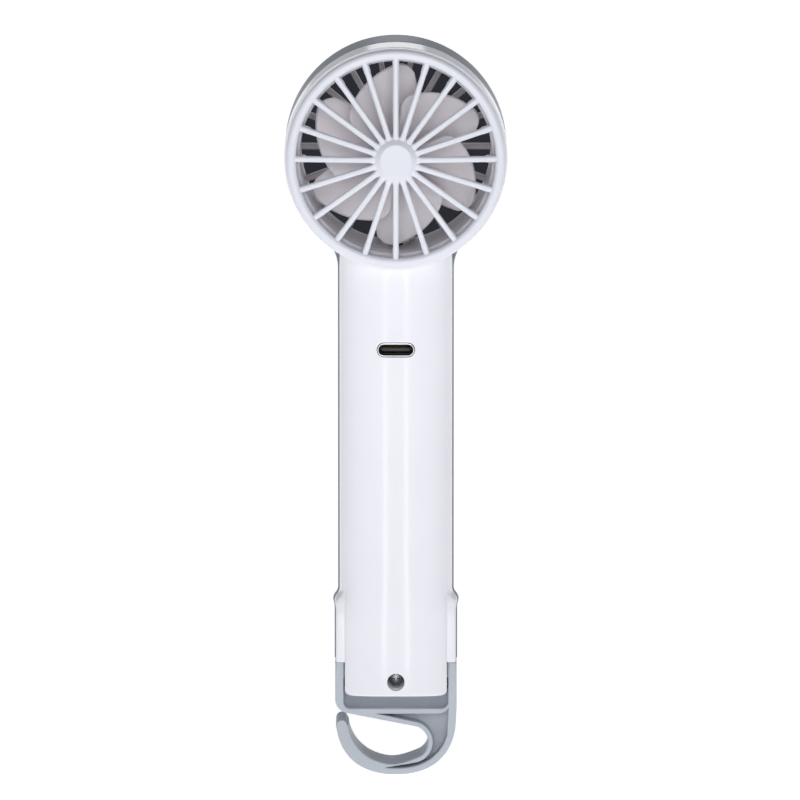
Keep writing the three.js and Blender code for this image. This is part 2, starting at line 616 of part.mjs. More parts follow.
/** Round button: a crowned cap, a flange that stops it inside the shell and a stem. */
function makePowerButton() {
  const flangeTop = HANDLE_FRONT_Y - WALL - 1;
  const stemEnd = BOARD_FRONT_Y + GAP + SWITCH_HEIGHT + 0.8 + GAP;
  const top = HANDLE_FRONT_Y + BUTTON_PROUD;
  const profile = [
    [0, stemEnd], [BUTTON_STEM_RADIUS, stemEnd], [BUTTON_STEM_RADIUS, flangeTop - 0.9],
    [BUTTON_RADIUS + BUTTON_FLANGE, flangeTop - 0.9], [BUTTON_RADIUS + BUTTON_FLANGE, flangeTop],
    [BUTTON_RADIUS, flangeTop], [BUTTON_RADIUS, top - 0.5],
    [BUTTON_RADIUS - 0.5, top - 0.1], [0, top],
  ];
  const geometry = new THREE.LatheGeometry(profile.map(([r, y]) => new THREE.Vector2(r, y)), 24);
  geometry.translate(0, 0, BUTTON_Z);
  return geometry;
}

/** Light pipe that carries the charge light from the board to the shell's front. */
function makeIndicatorLens() {
  return cylinderY(LENS_RADIUS, BOARD_FRONT_Y + GAP, HANDLE_FRONT_Y - 0.05, 0, LENS_Z, 12);
}

// ---------------------------------------------------------------- battery and wires

function makeCell() {
  const geometry = new THREE.ExtrudeGeometry(
    slotShape(CELL.width, CELL.depth, 0, 0, 1.5),
    { depth: CELL.length, bevelEnabled: false, curveSegments: 3 },
  );
  geometry.translate(0, CELL_MID_Y, CELL_TOP_Z - CELL.length);
  return geometry;
}

/** Foam strip between the cell and one shell. */
function makePad(rear) {
  const side = rear ? -1 : 1;
  const face = CELL_MID_Y + side * (CELL.depth / 2 + GAP);
  const crown = rear ? HANDLE_REAR_Y + WALL + PAD_REAR_GAP : HANDLE_FRONT_Y - WALL - PAD_FRONT_GAP;
  const low = CELL_TOP_Z - CELL.length + PAD_END_INSET;
  const high = CELL_TOP_Z - PAD_END_INSET;
  return box([-PAD_WIDTH / 2, Math.min(face, crown), low], [PAD_WIDTH / 2, Math.max(face, crown), high]);
}

/** Motor lead on one side, from the board's top edge through the drum's floor to the can. */
function makeMotorWire(side) {
  const x = side * (WIRE_SPACING / 2);
  const boardY = (BOARD_REAR_Y + BOARD_FRONT_Y) / 2;
  const floorZ = HEAD_Z - HEAD_RADIUS;
  return wire([
    [x, boardY, BOARD_TOP_Z + GAP],
    [x, boardY + 1.2, BOARD_TOP_Z + 1.6],
    [x, WIRE_HOLE_Y - 0.8, floorZ - 3],
    [x, WIRE_HOLE_Y, floorZ + 0.6],
    [x, WIRE_HOLE_Y, floorZ + 6],
    [x, WIRE_HOLE_Y, HEAD_Z - CUP_OUTER - GAP],
  ]);
}

/** Cell lead on one side, bowed towards the back between the cell's top and the board. */
function makeCellLead(side) {
  const x = side * LEAD_HALF_SPACING;
  const boardY = (BOARD_REAR_Y + BOARD_FRONT_Y) / 2;
  return wire([
    [x, boardY - 2.4, CELL_TOP_Z + GAP],
    [x, boardY - 2.2, CELL_TOP_Z + 0.9],
    [x, BOARD_REAR_Y - GAP - WIRE_RADIUS, BOARD_LOW_Z + 1.6],
    [x, BOARD_REAR_Y - GAP - WIRE_RADIUS, BOARD_LOW_Z + 3.2],
  ], WIRE_RADIUS, 8);
}

// ---------------------------------------------------------------- hook

const HOOK_SWING_RADIUS = { x: HOOK_OUTER_HALF_WIDTH - 0.15, z: 14.4 };
const HOOK_POWER = 2.3; // the outer sweep is a superellipse, a little squarer than a circle
const EYE = { x: 3.85, z: 8, radius: 4 }; // round end of the opening
const THROAT = { x: -1.2, z: 13.2, radius: 10.4 }; // inner sweep of the free arm
const TIP_RADIUS = 1.45;
const STRIP = 1.15; // raised edge round the opening
const RIM = 1.6; // raised edge on the outside
const FLOOR_THICKNESS = 1.3;

/** A point of the outer sweep, moved in by inset; angle 0 is +X and -PI/2 is the bottom. */
function sweepPoint(angle, inset = 0) {
  const power = 2 / HOOK_POWER;
  const [c, s] = [Math.cos(angle), Math.sin(angle)];
  return new THREE.Vector2(
    Math.sign(c) * Math.abs(c) ** power * (HOOK_SWING_RADIUS.x - inset),
    HOOK_SWING_RADIUS.z + Math.sign(s) * Math.abs(s) ** power * (HOOK_SWING_RADIUS.z - inset),
  );
}

function sweepPoints(from, to, count, inset = 0) {
  return Array.from({ length: count + 1 }, (_, i) => sweepPoint(from + ((to - from) * i) / count, inset));
}

/** Outline of the hook seen from the intake side: cradle, eye, free arm and outer sweep. */
function hookShape() {
  const out = HOOK_OUTER_HALF_WIDTH;
  const inside = out - ARM_THICKNESS;
  const corner = 3.4;
  const fillet = 1.6;
  const underLeft = 15.1;
  const topTangent = Math.PI / 2 - 0.2;
  const bottomTangent = -Math.PI / 2 + 0.17;
  const shape = new THREE.Shape();
  shape.moveTo(-out, ARM_TOP_Z);
  shape.lineTo(-out, underLeft + corner);
  shape.absarc(-out + corner, underLeft + corner, corner, Math.PI, 1.43 * Math.PI);
  shape.absarc(EYE.x, EYE.z, EYE.radius, topTangent, bottomTangent, true);
  shape.absarc(THROAT.x, THROAT.z, THROAT.radius, -Math.PI / 2 - 0.12, -Math.PI + 0.08, true);
  const tipX = -HOOK_SWING_RADIUS.x + TIP_RADIUS;
  shape.absarc(tipX, 12, TIP_RADIUS, 0, Math.PI, false);
  sweepPoints(-Math.PI + 0.2, 0, 20).forEach((point) => shape.lineTo(point.x, point.y));
  shape.lineTo(out, HOOK_SWING_RADIUS.z + 2);
  shape.lineTo(out, ARM_TOP_Z);
  shape.lineTo(inside, ARM_TOP_Z);
  shape.lineTo(inside, HOOK_DROP + fillet);
  shape.absarc(inside - fillet, HOOK_DROP + fillet, fillet, 0, -Math.PI / 2, true);
  shape.lineTo(-inside + fillet, HOOK_DROP);
  shape.absarc(-inside + fillet, HOOK_DROP + fillet, fillet, -Math.PI / 2, -Math.PI, true);
  shape.lineTo(-inside, ARM_TOP_Z);
  return shape;
}

/** Outline of the sunken web between the opening's edge and the outer rim. */
function pocketShape() {
  const under = HOOK_DROP - FLOOR_THICKNESS;
  const wallX = HOOK_OUTER_HALF_WIDTH - ARM_THICKNESS + 0.1;
  const shape = new THREE.Shape();
  shape.moveTo(-4.9, under);
  shape.lineTo(wallX - 2.8, under);
  shape.quadraticCurveTo(wallX - 0.7, under + 0.1, wallX, under + 1.4);
  sweepPoints(-0.32, -1.72, 10, RIM).forEach((point) => shape.lineTo(point.x, point.y));
  shape.absarc(EYE.x, EYE.z, EYE.radius + STRIP, -Math.PI / 2 + 0.17, Math.PI / 2 - 0.2, false);
  return shape;
}

/** Hanging hook: one moulding with a web sunk from both faces and a pin hole in each arm. */
function makeHook() {
  const body = solid(plate(hookShape(), HOOK_REAR_Y, HOOK_FRONT_Y, 6));
  const rearPocket = solid(plate(pocketShape(), HOOK_REAR_Y - PAST, HOOK_REAR_Y + POCKET_DEPTH, 6));
  const frontPocket = solid(plate(pocketShape(), HOOK_FRONT_Y - POCKET_DEPTH, HOOK_FRONT_Y + PAST, 6));
  const hole = solid(cylinderX(PIN_RADIUS + RUNNING, -pinEnd() - RUNNING, pinEnd() + RUNNING, PIN_Y, PIN_Z));
  return body.subtract(rearPocket).subtract(frontPocket).subtract(hole);
}

function pinEnd() {
  return HOOK_OUTER_HALF_WIDTH - 0.7;
}

function makeHookPin(side) {
  const inner = HOOK_RECESS_HALF_WIDTH - WALL + GAP;
  const [x0, x1] = side < 0 ? [-pinEnd(), -inner] : [inner, pinEnd()];
  return cylinderX(PIN_RADIUS, x0, x1, PIN_Y, PIN_Z);
}

/** Pan-head screw that closes the two shells, in the bottom of its recess. */
function makeScrew() {
  const under = HANDLE_REAR_Y + SCREW_RECESS_DEPTH - GAP;
  const end = HANDLE_FRONT_Y - 2 * WALL - GAP;
  const profile = [
    [0, under - SCREW_HEAD_HEIGHT], [SCREW_HEAD_RADIUS - 0.5, under - SCREW_HEAD_HEIGHT + 0.1],
    [SCREW_HEAD_RADIUS, under - SCREW_HEAD_HEIGHT + 0.6], [SCREW_HEAD_RADIUS, under],
    [SCREW_SHANK, under], [SCREW_SHANK, end - 1], [0, end],
  ];
  const geometry = new THREE.LatheGeometry(profile.map(([r, y]) => new THREE.Vector2(r, y)), 16);
  geometry.translate(0, 0, SCREW_Z);
  return geometry;
}

// ---------------------------------------------------------------- the object

const fan = new THREE.Group();

/** Adds a sub-part under its own name with its own material. */
function add(name, shape, color, roughness = 0.5, metalness = 0) {
  const geometry = shape instanceof THREE.BufferGeometry ? closed(shape) : geometryOf(shape);
  geometry.computeVertexNormals();
  const mesh = new THREE.Mesh(geometry, new THREE.MeshStandardMaterial({ color, roughness, metalness }));
  mesh.name = name;
  fan.add(mesh);
}

const WHITE = 0xe9e8f0;
const SLATE = 0x8f949e;
const HOOK_GREY = 0xa9aeb4;
const housing = makeHousing();
const bearingRearY = CAN_REAR_Y + 0.4;
const bearingFrontY = CAN_FRONT_Y - 0.5 - BEARING_LENGTH;

add('rear_grille', makeRearGrille(), 0xf6f6fa, 0.35);
add('rear_shell', makeRearShell(housing), WHITE, 0.18);
add('front_shell', makeFrontShell(housing), SLATE, 0.35);
add('duct_liner', makeDuct(), 0xb9b8bf, 0.5);
add('motor_frame', makeMotorFrame(), 0xc2c1c8, 0.5);
add('motor_cap', makeMotorCap(), SLATE, 0.4);

add('motor_can', makeMotorCan(), 0x9a9c9f, 0.35, 1);
add('motor_end_plate', makeMotorEndPlate(), 0x8d8f92, 0.4, 1);
add('rear_bearing', bearing(bearingRearY), 0xb08d57, 0.4, 1);
add('front_bearing', bearing(bearingFrontY), 0xb08d57, 0.4, 1);
add('motor_stator_core', motorRing(CORE_OUTER, CORE_INNER, CORE_LENGTH), 0x6a6c70, 0.5, 1);
add('motor_windings', motorRing(WINDING_OUTER, WINDING_INNER, CORE_LENGTH + 0.6), 0xb4632f, 0.4, 1);
add('rotor_magnet', motorRing(WINDING_INNER - AIR_GAP, BORE, CORE_LENGTH + 0.2), 0x3b3c40, 0.5, 0.6);
add('motor_shaft', makeShaft(), 0xc9cbce, 0.2, 1);
add('impeller', makeImpeller(), 0xdedce2, 0.4);

add('circuit_board', makeBoard(), 0x1f5a3a, 0.5);
add('usb_c_shell', makePortShell(), 0xc8c9cc, 0.25, 1);
add('usb_c_tongue', makePortTongue(), 0x17181b, 0.5);
add('tact_switch', makeTactSwitch(), 0x2a2b2e, 0.5);
add('switch_plunger', makeSwitchPlunger(), 0x1a1a1c, 0.5);
add('power_button', makePowerButton(), 0xd9dade, 0.3);
add('indicator_lens', makeIndicatorLens(), 0xf0f3f5, 0.1);
add('battery_cell', makeCell(), 0x6f8fb0, 0.4);
add('battery_pad_rear', makePad(true), 0x3a3a3c, 0.95);
add('battery_pad_front', makePad(false), 0x3a3a3c, 0.95);
add('motor_wire_red', makeMotorWire(-1), 0xb3202a, 0.5);
add('motor_wire_black', makeMotorWire(1), 0x3a2a26, 0.5);
add('battery_lead_red', makeCellLead(-1), 0xb3202a, 0.5);
add('battery_lead_black', makeCellLead(1), 0x1d1d1f, 0.5);

add('handle_screw', makeScrew(), 0x9a9ba0, 0.3, 1);
add('hook', makeHook(), HOOK_GREY, 0.5);
add('hook_pin_left', makeHookPin(-1), 0xc9cbce, 0.25, 1);
add('hook_pin_right', makeHookPin(1), 0xc9cbce, 0.25, 1);

export default fan;
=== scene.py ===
# %% [markdown]
# # A handheld fan
# The real fan is a clamshell of two glossy mouldings, a grille, a ducted impeller and a folding hook.
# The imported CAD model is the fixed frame: it says where every piece is and what it turns with. Each
# visible piece is made again here as a finer surface in the same place, and hidden pieces keep their
# CAD mesh and get a proper finish.

# %% The fixed frame
import bmesh
import bpy
import numpy as np
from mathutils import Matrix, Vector
from mathutils.geometry import tessellate_polygon


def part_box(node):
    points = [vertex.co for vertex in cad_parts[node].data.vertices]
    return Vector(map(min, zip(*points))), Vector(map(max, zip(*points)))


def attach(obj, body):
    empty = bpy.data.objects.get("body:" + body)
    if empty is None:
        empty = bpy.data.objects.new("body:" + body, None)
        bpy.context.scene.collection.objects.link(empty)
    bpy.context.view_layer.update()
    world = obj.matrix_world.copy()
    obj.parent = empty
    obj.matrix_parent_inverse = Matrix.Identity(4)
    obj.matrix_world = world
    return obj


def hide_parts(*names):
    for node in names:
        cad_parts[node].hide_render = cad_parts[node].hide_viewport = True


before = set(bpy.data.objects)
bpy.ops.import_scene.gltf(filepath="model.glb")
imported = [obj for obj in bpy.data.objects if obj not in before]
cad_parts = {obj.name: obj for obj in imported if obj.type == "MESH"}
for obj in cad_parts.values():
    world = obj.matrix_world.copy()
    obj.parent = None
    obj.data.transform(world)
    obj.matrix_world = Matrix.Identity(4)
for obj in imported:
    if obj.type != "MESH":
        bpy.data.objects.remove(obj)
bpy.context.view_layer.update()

MM = 0.001


def place(node):
    """Lowest and highest corner of a CAD node, in millimetres."""
    low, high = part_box(node)
    return np.array(low) / MM, np.array(high) / MM


# %% [markdown]
# ## Main sizes
# A designer reads positions off the assembly instead of measuring them again. The head's axis, the
# parting line and the handle's two crowns all follow from the boxes of the CAD nodes.

# %% Positions read from the frame
grille_low, grille_high = place("rear_grille")
rear_low, rear_high = place("rear_shell")
front_low, front_high = place("front_shell")
port_low, port_high = place("usb_c_shell")
HEAD_Z = (grille_low[2] + grille_high[2]) / 2
HEAD_RADIUS = rear_high[0]
RING_RADIUS = grille_high[0]
HUB_Y, DRUM_REAR_Y, HEAD_FRONT_Y = grille_low[1], rear_low[1], front_high[1]
# The halves of the skin close the CAD model's working gap to a hairline, so no light passes.
SEAM_Y, SEAM_GAP = (rear_high[1] + front_low[1]) / 2, 0.02
SEAM_REAR_Y, SEAM_FRONT_Y = SEAM_Y - SEAM_GAP / 2, SEAM_Y + SEAM_GAP / 2
SHELL_BOTTOM_Z = rear_low[2]
HANDLE_REAR_Y = port_low[1] - 0.1
HANDLE_DEPTH = 21.0
REAR_DEPTH = SEAM_Y - HANDLE_REAR_Y
FRONT_DEPTH = HANDLE_DEPTH - REAR_DEPTH
print("head", round(HEAD_Z, 2), "radius", round(HEAD_RADIUS, 2), "seam", round(SEAM_Y, 2))

# %% [markdown]
# ## Tools for surfaces
# Almost every moulded piece is one of four shapes: a grid of points, a profile turned round an axis,
# a plate with rounded edges, or a thin leaf. Each is worked out as one array.

# %% Arrays to meshes
MERGE = 2e-6


def grid(points, close_rows=False, close_columns=False):
    """Quads between the neighbours of an array of shape (rows, columns, 3)."""
    rows, columns = points.shape[:2]
    index = np.arange(rows * columns).reshape(rows, columns)
    if close_rows:
        index = np.vstack([index, index[:1]])
    if close_columns:
        index = np.hstack([index, index[:, :1]])
    quads = np.stack([index[:-1, :-1], index[:-1, 1:], index[1:, 1:], index[1:, :-1]], -1)
    return points.reshape(-1, 3), quads.reshape(-1, 4)


def unit(vectors):
    """Each vector divided by its length."""
    return vectors / np.maximum(np.linalg.norm(vectors, axis=-1, keepdims=True), 1e-12)


def rounded(corners, radii, steps=6, closed=False):
    """A polyline whose corners are arcs. An arc starts radius / tan(half the angle) from its corner."""
    p = np.asarray(corners, float)
    radii = np.asarray(radii, float)[:, None]
    if closed:
        before, middle, after = np.roll(p, 1, 0), p, np.roll(p, -1, 0)
    else:
        before, middle, after = p[:-2], p[1:-1], p[2:]
    a, b = unit(before - middle), unit(after - middle)
    half = np.arccos(np.clip((a * b).sum(-1, keepdims=True), -1, 1)) / 2
    centre = middle + unit(a + b) * radii / np.sin(half)
    start = middle + a * radii / np.tan(half) - centre
    end = middle + b * radii / np.tan(half) - centre
    turn = np.pi - 2 * half
    u = np.linspace(0, 1, steps + 1)[:, None, None]
    arcs = centre + (np.sin((1 - u) * turn) * start + np.sin(u * turn) * end) / np.sin(turn)
    loop = arcs.transpose(1, 0, 2).reshape(-1, 2)
    return loop if closed else np.vstack([p[:1], loop, p[-1:]])


def turned(profile, closed=True, turns=192, centre=(0.0, None)):
    """(radius, y) pairs swept round an axis along Y: x = x0 + r cos a, z = z0 + r sin a."""
    x0, z0 = centre[0], HEAD_Z if centre[1] is None else centre[1]
    angle = np.linspace(0, 2 * np.pi, turns, endpoint=False)
    r, y = np.asarray(profile, float).T[:, :, None]
    points = np.stack([x0 + r * np.cos(angle), y + 0 * angle, z0 + r * np.sin(angle)], -1)
    return grid(points, close_rows=closed, close_columns=True)


def spun(points, count):
    """Copies of points of any shape (..., 3), turned round the head's axis in equal steps."""
    angle = 2 * np.pi * np.arange(count) / count
    c, s = np.cos(angle), np.sin(angle)
    x, y, z = points[..., 0], points[..., 1], points[..., 2] - HEAD_Z
    shape = (count,) + (1,) * x.ndim
    c, s = c.reshape(shape), s.reshape(shape)
    return np.stack([x * c - z * s, y + 0 * c, HEAD_Z + x * s + z * c], -1)


def piece(name, parts, material, body, replaced=(), sharp=35, wall=0.0, outside_of=None):
    """One object from parts, each (points in mm, faces). Doubles are merged, faces point out, and
    edges bent by more than the sharp angle stay sharp."""
    points, faces, start = [], [], 0
    for part_points, part_faces in parts:
        points.append(part_points)
        faces.extend((np.asarray(part_faces) + start).tolist())
        start += len(part_points)
    mesh = bpy.data.meshes.new(name)
    mesh.from_pydata((np.concatenate(points) * MM).tolist(), [], faces)
    shape = bmesh.new()
    shape.from_mesh(mesh)
    bmesh.ops.remove_doubles(shape, verts=shape.verts, dist=MERGE)
    bmesh.ops.dissolve_degenerate(shape, edges=shape.edges, dist=MERGE)
    bmesh.ops.recalc_face_normals(shape, faces=shape.faces)
    if outside_of is not None:
        inner = Vector(np.array(outside_of) * MM)
        facing = sum(f.normal.dot(f.calc_center_median() - inner) * f.calc_area() for f in shape.faces)
        if facing < 0:
            bmesh.ops.reverse_faces(shape, faces=shape.faces)
    open_edges = sum(1 for e in shape.edges if not e.is_manifold)
    shape.to_mesh(mesh)
    shape.free()
    mesh.shade_smooth()
    mesh.set_sharp_from_angle(angle=np.radians(sharp))
    mesh.materials.append(material)
    made = bpy.data.objects.new(name, mesh)
    bpy.context.scene.collection.objects.link(made)
    if wall:
        thickness = made.modifiers.new("Wall", "SOLIDIFY")
        thickness.thickness = wall * MM
        thickness.offset = -1
    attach(made, body)
    if replaced:
        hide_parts(*replaced)
    note = " before its wall" if wall else ""
    print(f"{name}: {len(mesh.polygons)} faces, {open_edges} open edges{note}")
    return made


# %% Plates with rounded edges
def tidy_loop(loop, clockwise):
    """The loop without repeated points, in the asked direction (by the sign of its enclosed area)."""
    loop = loop[np.linalg.norm(loop - np.roll(loop, 1, 0), axis=1) > 1e-4]
    x, z = loop.T
    area = (x * np.roll(z, -1) - np.roll(x, -1) * z).sum()
    return loop[::-1] if (area < 0) != clockwise else loop


def inward(loop, distance):
    """The loop moved to its left: along the bisector, by the distance over the cosine of half the bend."""
    ahead = unit(np.roll(loop, -1, 0) - loop)
    behind = np.roll(ahead, 1, 0)
    left = np.stack([-(ahead + behind)[:, 1], (ahead + behind)[:, 0]], -1)
    normal = unit(left)
    stretch = 1 / np.maximum((normal * np.stack([-ahead[:, 1], ahead[:, 0]], -1)).sum(-1), 0.5)
    return loop + normal * (distance * stretch)[:, None]


def plate(loops, y0, y1, edge=0.3, steps=3):
    """Plate between two Y planes. Its outlines, in X and Z, turn over each edge by a quarter circle."""
    parts, caps = [], []
    phi = np.linspace(0, np.pi / 2, steps + 1)
    insets, drops = edge * (1 - np.sin(phi)), edge * (1 - np.cos(phi))
    levels = np.concatenate([y0 + drops, (y1 - drops)[::-1]])
    for number, loop in enumerate(loops):
        loop = tidy_loop(np.asarray(loop, float), clockwise=number > 0)
        rings = np.stack([inward(loop, inset) for inset in np.concatenate([insets, insets[::-1]])])
        walls = np.stack([rings[..., 0], levels[:, None] + 0 * rings[..., 0], rings[..., 1]], -1)
        parts.append(grid(walls, close_columns=True))
        caps.append(rings[0])
    flat = np.concatenate(caps)
    triangles = np.array(tessellate_polygon([[Vector((x, z, 0)) for x, z in cap] for cap in caps]))
    for y in (y0, y1):
        parts.append((np.column_stack([flat[:, 0], np.full(len(flat), y), flat[:, 1]]), triangles))
    return parts


def box_outline(x0, z0, x1, z1, radius, steps=5):
    """A rectangle in X and Z with round corners."""
    corners = [(x0, z0), (x1, z0), (x1, z1), (x0, z1)]
    return rounded(corners, [radius] * 4, steps, closed=True)


# %% Leaves: thin surfaces with a round edge
def leaf(middle, half_thickness, edge):
    """A closed sheet round a grid of points: both faces stand off along the normal, and the gap
    closes over the last stretch of each side as a quarter of an ellipse."""
    along = np.gradient(middle, axis=0)
    across = np.gradient(middle, axis=1)
    normal = unit(np.cross(along, across))

    def side_distance(points, axis):
        step = np.linalg.norm(np.diff(points, axis=axis), axis=-1)
        zero = np.zeros_like(np.take(step, [0], axis))
        length = np.concatenate([zero, np.cumsum(step, axis)], axis)
        return np.minimum(length, np.take(length, [-1], axis) - length)

    distance = np.minimum(side_distance(middle, 0), side_distance(middle, 1))
    closing = np.sqrt(1 - (1 - np.clip(distance / edge, 0, 1)) ** 2)
    offset = normal * (half_thickness * closing)[..., None]
    return [grid(middle + offset), grid(middle - offset)]


def crowded(count, power=2.0):
    """Numbers from 0 to 1 that lie closer together at both ends."""
    t = np.linspace(-1, 1, count)
    return (1 + np.sign(t) * (1 - (1 - np.abs(t)) ** power)) / 2


# %% [markdown]
# ## Materials
# Every finish is named for what the real one is and how its surface was made, except the painted shade
# card. All of them read Object coordinates in metres, so a scale is one over a real size. Colours are sRGB
# codes, made linear once.

# %% Colour and node helpers
CLOUD = 18.0  # size of the slow mottling, in millimetres


def linear(code):
    """A linear colour from an sRGB code: c / 12.92 below 0.04045, else ((c + 0.055) / 1.055) ^ 2.4."""
    c = np.array([int(code[i : i + 2], 16) for i in (1, 3, 5)]) / 255
    channels = np.where(c <= 0.04045, c / 12.92, ((c + 0.055) / 1.055) ** 2.4)
    return (*channels.tolist(), 1.0)


def add(tree, kind, settings=None, links=None):
    """One node: settings are attributes or input values, and links join its inputs to other outputs."""
    node = tree.nodes.new(kind)
    for key, value in (settings or {}).items():
        if key in node.inputs:
            node.inputs[key].default_value = value
        else:
            setattr(node, key, value)
    for key, output in (links or {}).items():
        tree.links.new(output, node.inputs[key])
    return node


def finish(
    name, colour, roughness, grain=0.5, depth=0.004, mottle=0.03, uneven=0.06,
    metallic=0.0, stretch=(1, 1, 1), specular=0.5, subsurface=0.0,
):
    """A moulded, cast or drawn surface: fine grain as bump, slow mottling in colour, uneven gloss.

    grain is the grain's size and depth its height, both in millimetres."""
    material = bpy.data.materials.new(name)
    material.use_nodes = True
    tree = material.node_tree
    tree.nodes.clear()
    coordinates = add(tree, "ShaderNodeTexCoord").outputs["Object"]
    stretched = add(tree, "ShaderNodeMapping", {"Scale": stretch}, {"Vector": coordinates})
    fine_size = {"Scale": 1 / (grain * MM), "Detail": 3.0}
    slow_size = {"Scale": 1 / (CLOUD * MM), "Detail": 2.0}
    fine = add(tree, "ShaderNodeTexNoise", fine_size, {"Vector": stretched.outputs["Vector"]})
    slow = add(tree, "ShaderNodeTexNoise", slow_size, {"Vector": coordinates})
    base = linear(colour)
    darker = tuple(c * (1 - 2 * mottle) for c in base[:3]) + (1.0,)
    ramp = add(tree, "ShaderNodeValToRGB", links={"Fac": slow.outputs["Fac"]})
    for stop, position, tone in zip(ramp.color_ramp.elements, (0.35, 0.65), (darker, base)):
        stop.position, stop.color = position, tone
    gloss = add(
        tree, "ShaderNodeMapRange", {"To Min": max(roughness - uneven, 0.02), "To Max": roughness + uneven},
        {"Value": slow.outputs["Fac"]},
    )
    bump = add(
        tree, "ShaderNodeBump", {"Distance": depth * MM, "Strength": 1.0}, {"Height": fine.outputs["Fac"]}
    )
    links = {"Base Color": ramp.outputs["Color"], "Roughness": gloss.outputs["Result"]}
    links["Normal"] = bump.outputs["Normal"]
    shader = add(tree, "ShaderNodeBsdfPrincipled", {"Metallic": metallic}, links)
    if not metallic:
        shader.inputs["Specular IOR Level"].default_value = specular
        shader.inputs["Subsurface Weight"].default_value = subsurface
        shader.inputs["Subsurface Radius"].default_value = (1.0, 0.9, 0.8)
        shader.inputs["Subsurface Scale"].default_value = 0.6 * MM
    add(tree, "ShaderNodeOutputMaterial", links={"Surface": shader.outputs["BSDF"]})
    return material


# %% Plastics that show
# Glossy ABS from a polished mould: a wet-looking white with a cool cast, and hardly any grain.
gloss_white_abs = finish("polished_white_abs", "#E9E9EF", 0.12, 2.5, 0.0015, 0.01, 0.03)
# Grille: the same ABS from a finely blasted mould, brighter and softer than the shell.
satin_white_abs = finish("satin_white_abs", "#DADCE4", 0.3, 0.35, 0.003, 0.01, 0.05)
# Slate ABS with a soft satin face.
slate_abs = finish("satin_slate_abs", "#848B96", 0.36, 0.35, 0.004, 0.03, 0.05)
# Duct and frame: a plain grey engineering plastic, dull from the mould's tool marks.
duct_plastic = finish("moulded_grey_nylon", "#D2CFD4", 0.5, 0.4, 0.010, 0.04, 0.06, stretch=(1, 0.2, 1))
# Impeller: thin milky polycarbonate that glows a little where it is thin.
milky_pc = finish("milky_polycarbonate", "#DBD6DA", 0.42, 0.5, 0.004, 0.02, 0.05, subsurface=0.15)
# Hook: acetal with a fine spark-eroded texture.
eroded_acetal = finish("spark_eroded_acetal", "#B4BAC2", 0.48, 0.45, 0.016, 0.03, 0.06)
# Cap over the motor: the slate ABS, more matt.
matt_slate = finish("matt_slate_abs", "#5F656F", 0.5, 0.35, 0.006, 0.03, 0.05)
# Button: pale grey ABS, satin.
button_abs = finish("satin_pale_abs", "#D5D6DB", 0.3, 0.35, 0.003, 0.02, 0.05)
# Black LCP of the port's tongue and of the switch: dull and slightly grainy.
black_lcp = finish("black_lcp", "#1B1C20", 0.45, 0.3, 0.004, 0.04, 0.06)

# %% Metals
stamped_steel = finish("stamped_steel", "#A5A7AA", 0.34, 0.3, 0.003, 0.04, 0.06, 1.0, (1, 0.1, 1))
port_steel = finish("bright_nickel_plate", "#D9D9DA", 0.16, 0.3, 0.001, 0.02, 0.04, 1.0)
ground_steel = finish("ground_steel", "#C6C8CB", 0.2, 0.15, 0.002, 0.03, 0.05, 1.0, (1, 0.05, 1))
zinc_steel = finish("zinc_plated_steel", "#A9ABB0", 0.32, 0.25, 0.004, 0.06, 0.08, 1.0)
core_steel = finish("laminated_steel", "#6E7074", 0.5, 0.35, 0.02, 0.05, 0.06, 1.0, (0.05, 1, 0.05))
bronze = finish("sintered_bronze", "#B08A55", 0.5, 0.12, 0.012, 0.08, 0.06, 1.0)
black_oxide = finish("black_oxide_steel", "#3C3E43", 0.4, 0.25, 0.004, 0.05, 0.06, 1.0)
copper = finish("enamelled_copper_wire", "#B4652F", 0.32, 0.22, 0.05, 0.08, 0.08, 1.0, (0.1, 1, 0.1))
gold = finish("gold_plate", "#C9A24B", 0.25, 0.2, 0.001, 0.02, 0.04, 1.0)

# %% Other finishes
magnet = finish("bonded_ferrite", "#34353A", 0.55, 0.2, 0.01, 0.06, 0.06)
solder_mask = finish("green_solder_mask", "#1E5B3A", 0.35, 0.6, 0.01, 0.10, 0.06)
shrink_wrap = finish("blue_shrink_wrap", "#5E83AD", 0.28, 4.0, 0.03, 0.03, 0.06)
foam = finish("black_eva_foam", "#2B2B2E", 0.9, 0.35, 0.08, 0.08, 0.05)
red_pvc = finish("red_pvc_insulation", "#A81E26", 0.4, 0.4, 0.006, 0.04, 0.05)
dark_pvc = finish("dark_pvc_insulation", "#33231F", 0.42, 0.4, 0.006, 0.04, 0.05)
light_pipe = finish("clear_pmma", "#E9EEF2", 0.08, 1.5, 0.001, 0.01, 0.03)
light_pipe.node_tree.nodes["Principled BSDF"].inputs["Transmission Weight"].default_value = 0.85


def glowing(material, colour, strength):
    """The material also gives off light of one colour."""
    shader = material.node_tree.nodes["Principled BSDF"]
    shader.inputs["Emission Color"].default_value = linear(colour)
    shader.inputs["Emission Strength"].default_value = strength
    return material


print(len(bpy.data.materials), "materials in the file")

# %% [markdown]
# ## Hidden pieces
# The motor, the board, the cell and the leads are inside and already have the right shape, so they
# keep their CAD mesh and only get their finish.

# %% Finishes on CAD nodes
KEPT = {
    stamped_steel: ("motor_can", "motor_end_plate"),
    bronze: ("rear_bearing", "front_bearing"),
    core_steel: ("motor_stator_core",),
    copper: ("motor_windings",),
    magnet: ("rotor_magnet",),
    ground_steel: ("motor_shaft",),
    solder_mask: ("circuit_board",),
    black_lcp: ("tact_switch", "switch_plunger"),
    shrink_wrap: ("battery_cell",),
    foam: ("battery_pad_rear", "battery_pad_front"),
    red_pvc: ("battery_lead_red",),
    dark_pvc: ("battery_lead_black",),
}
for material, nodes in KEPT.items():
    for node in nodes:
        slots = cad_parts[node].data.materials
        slots.clear()
        slots.append(material)
print(sum(len(nodes) for nodes in KEPT.values()), "CAD nodes keep their mesh")

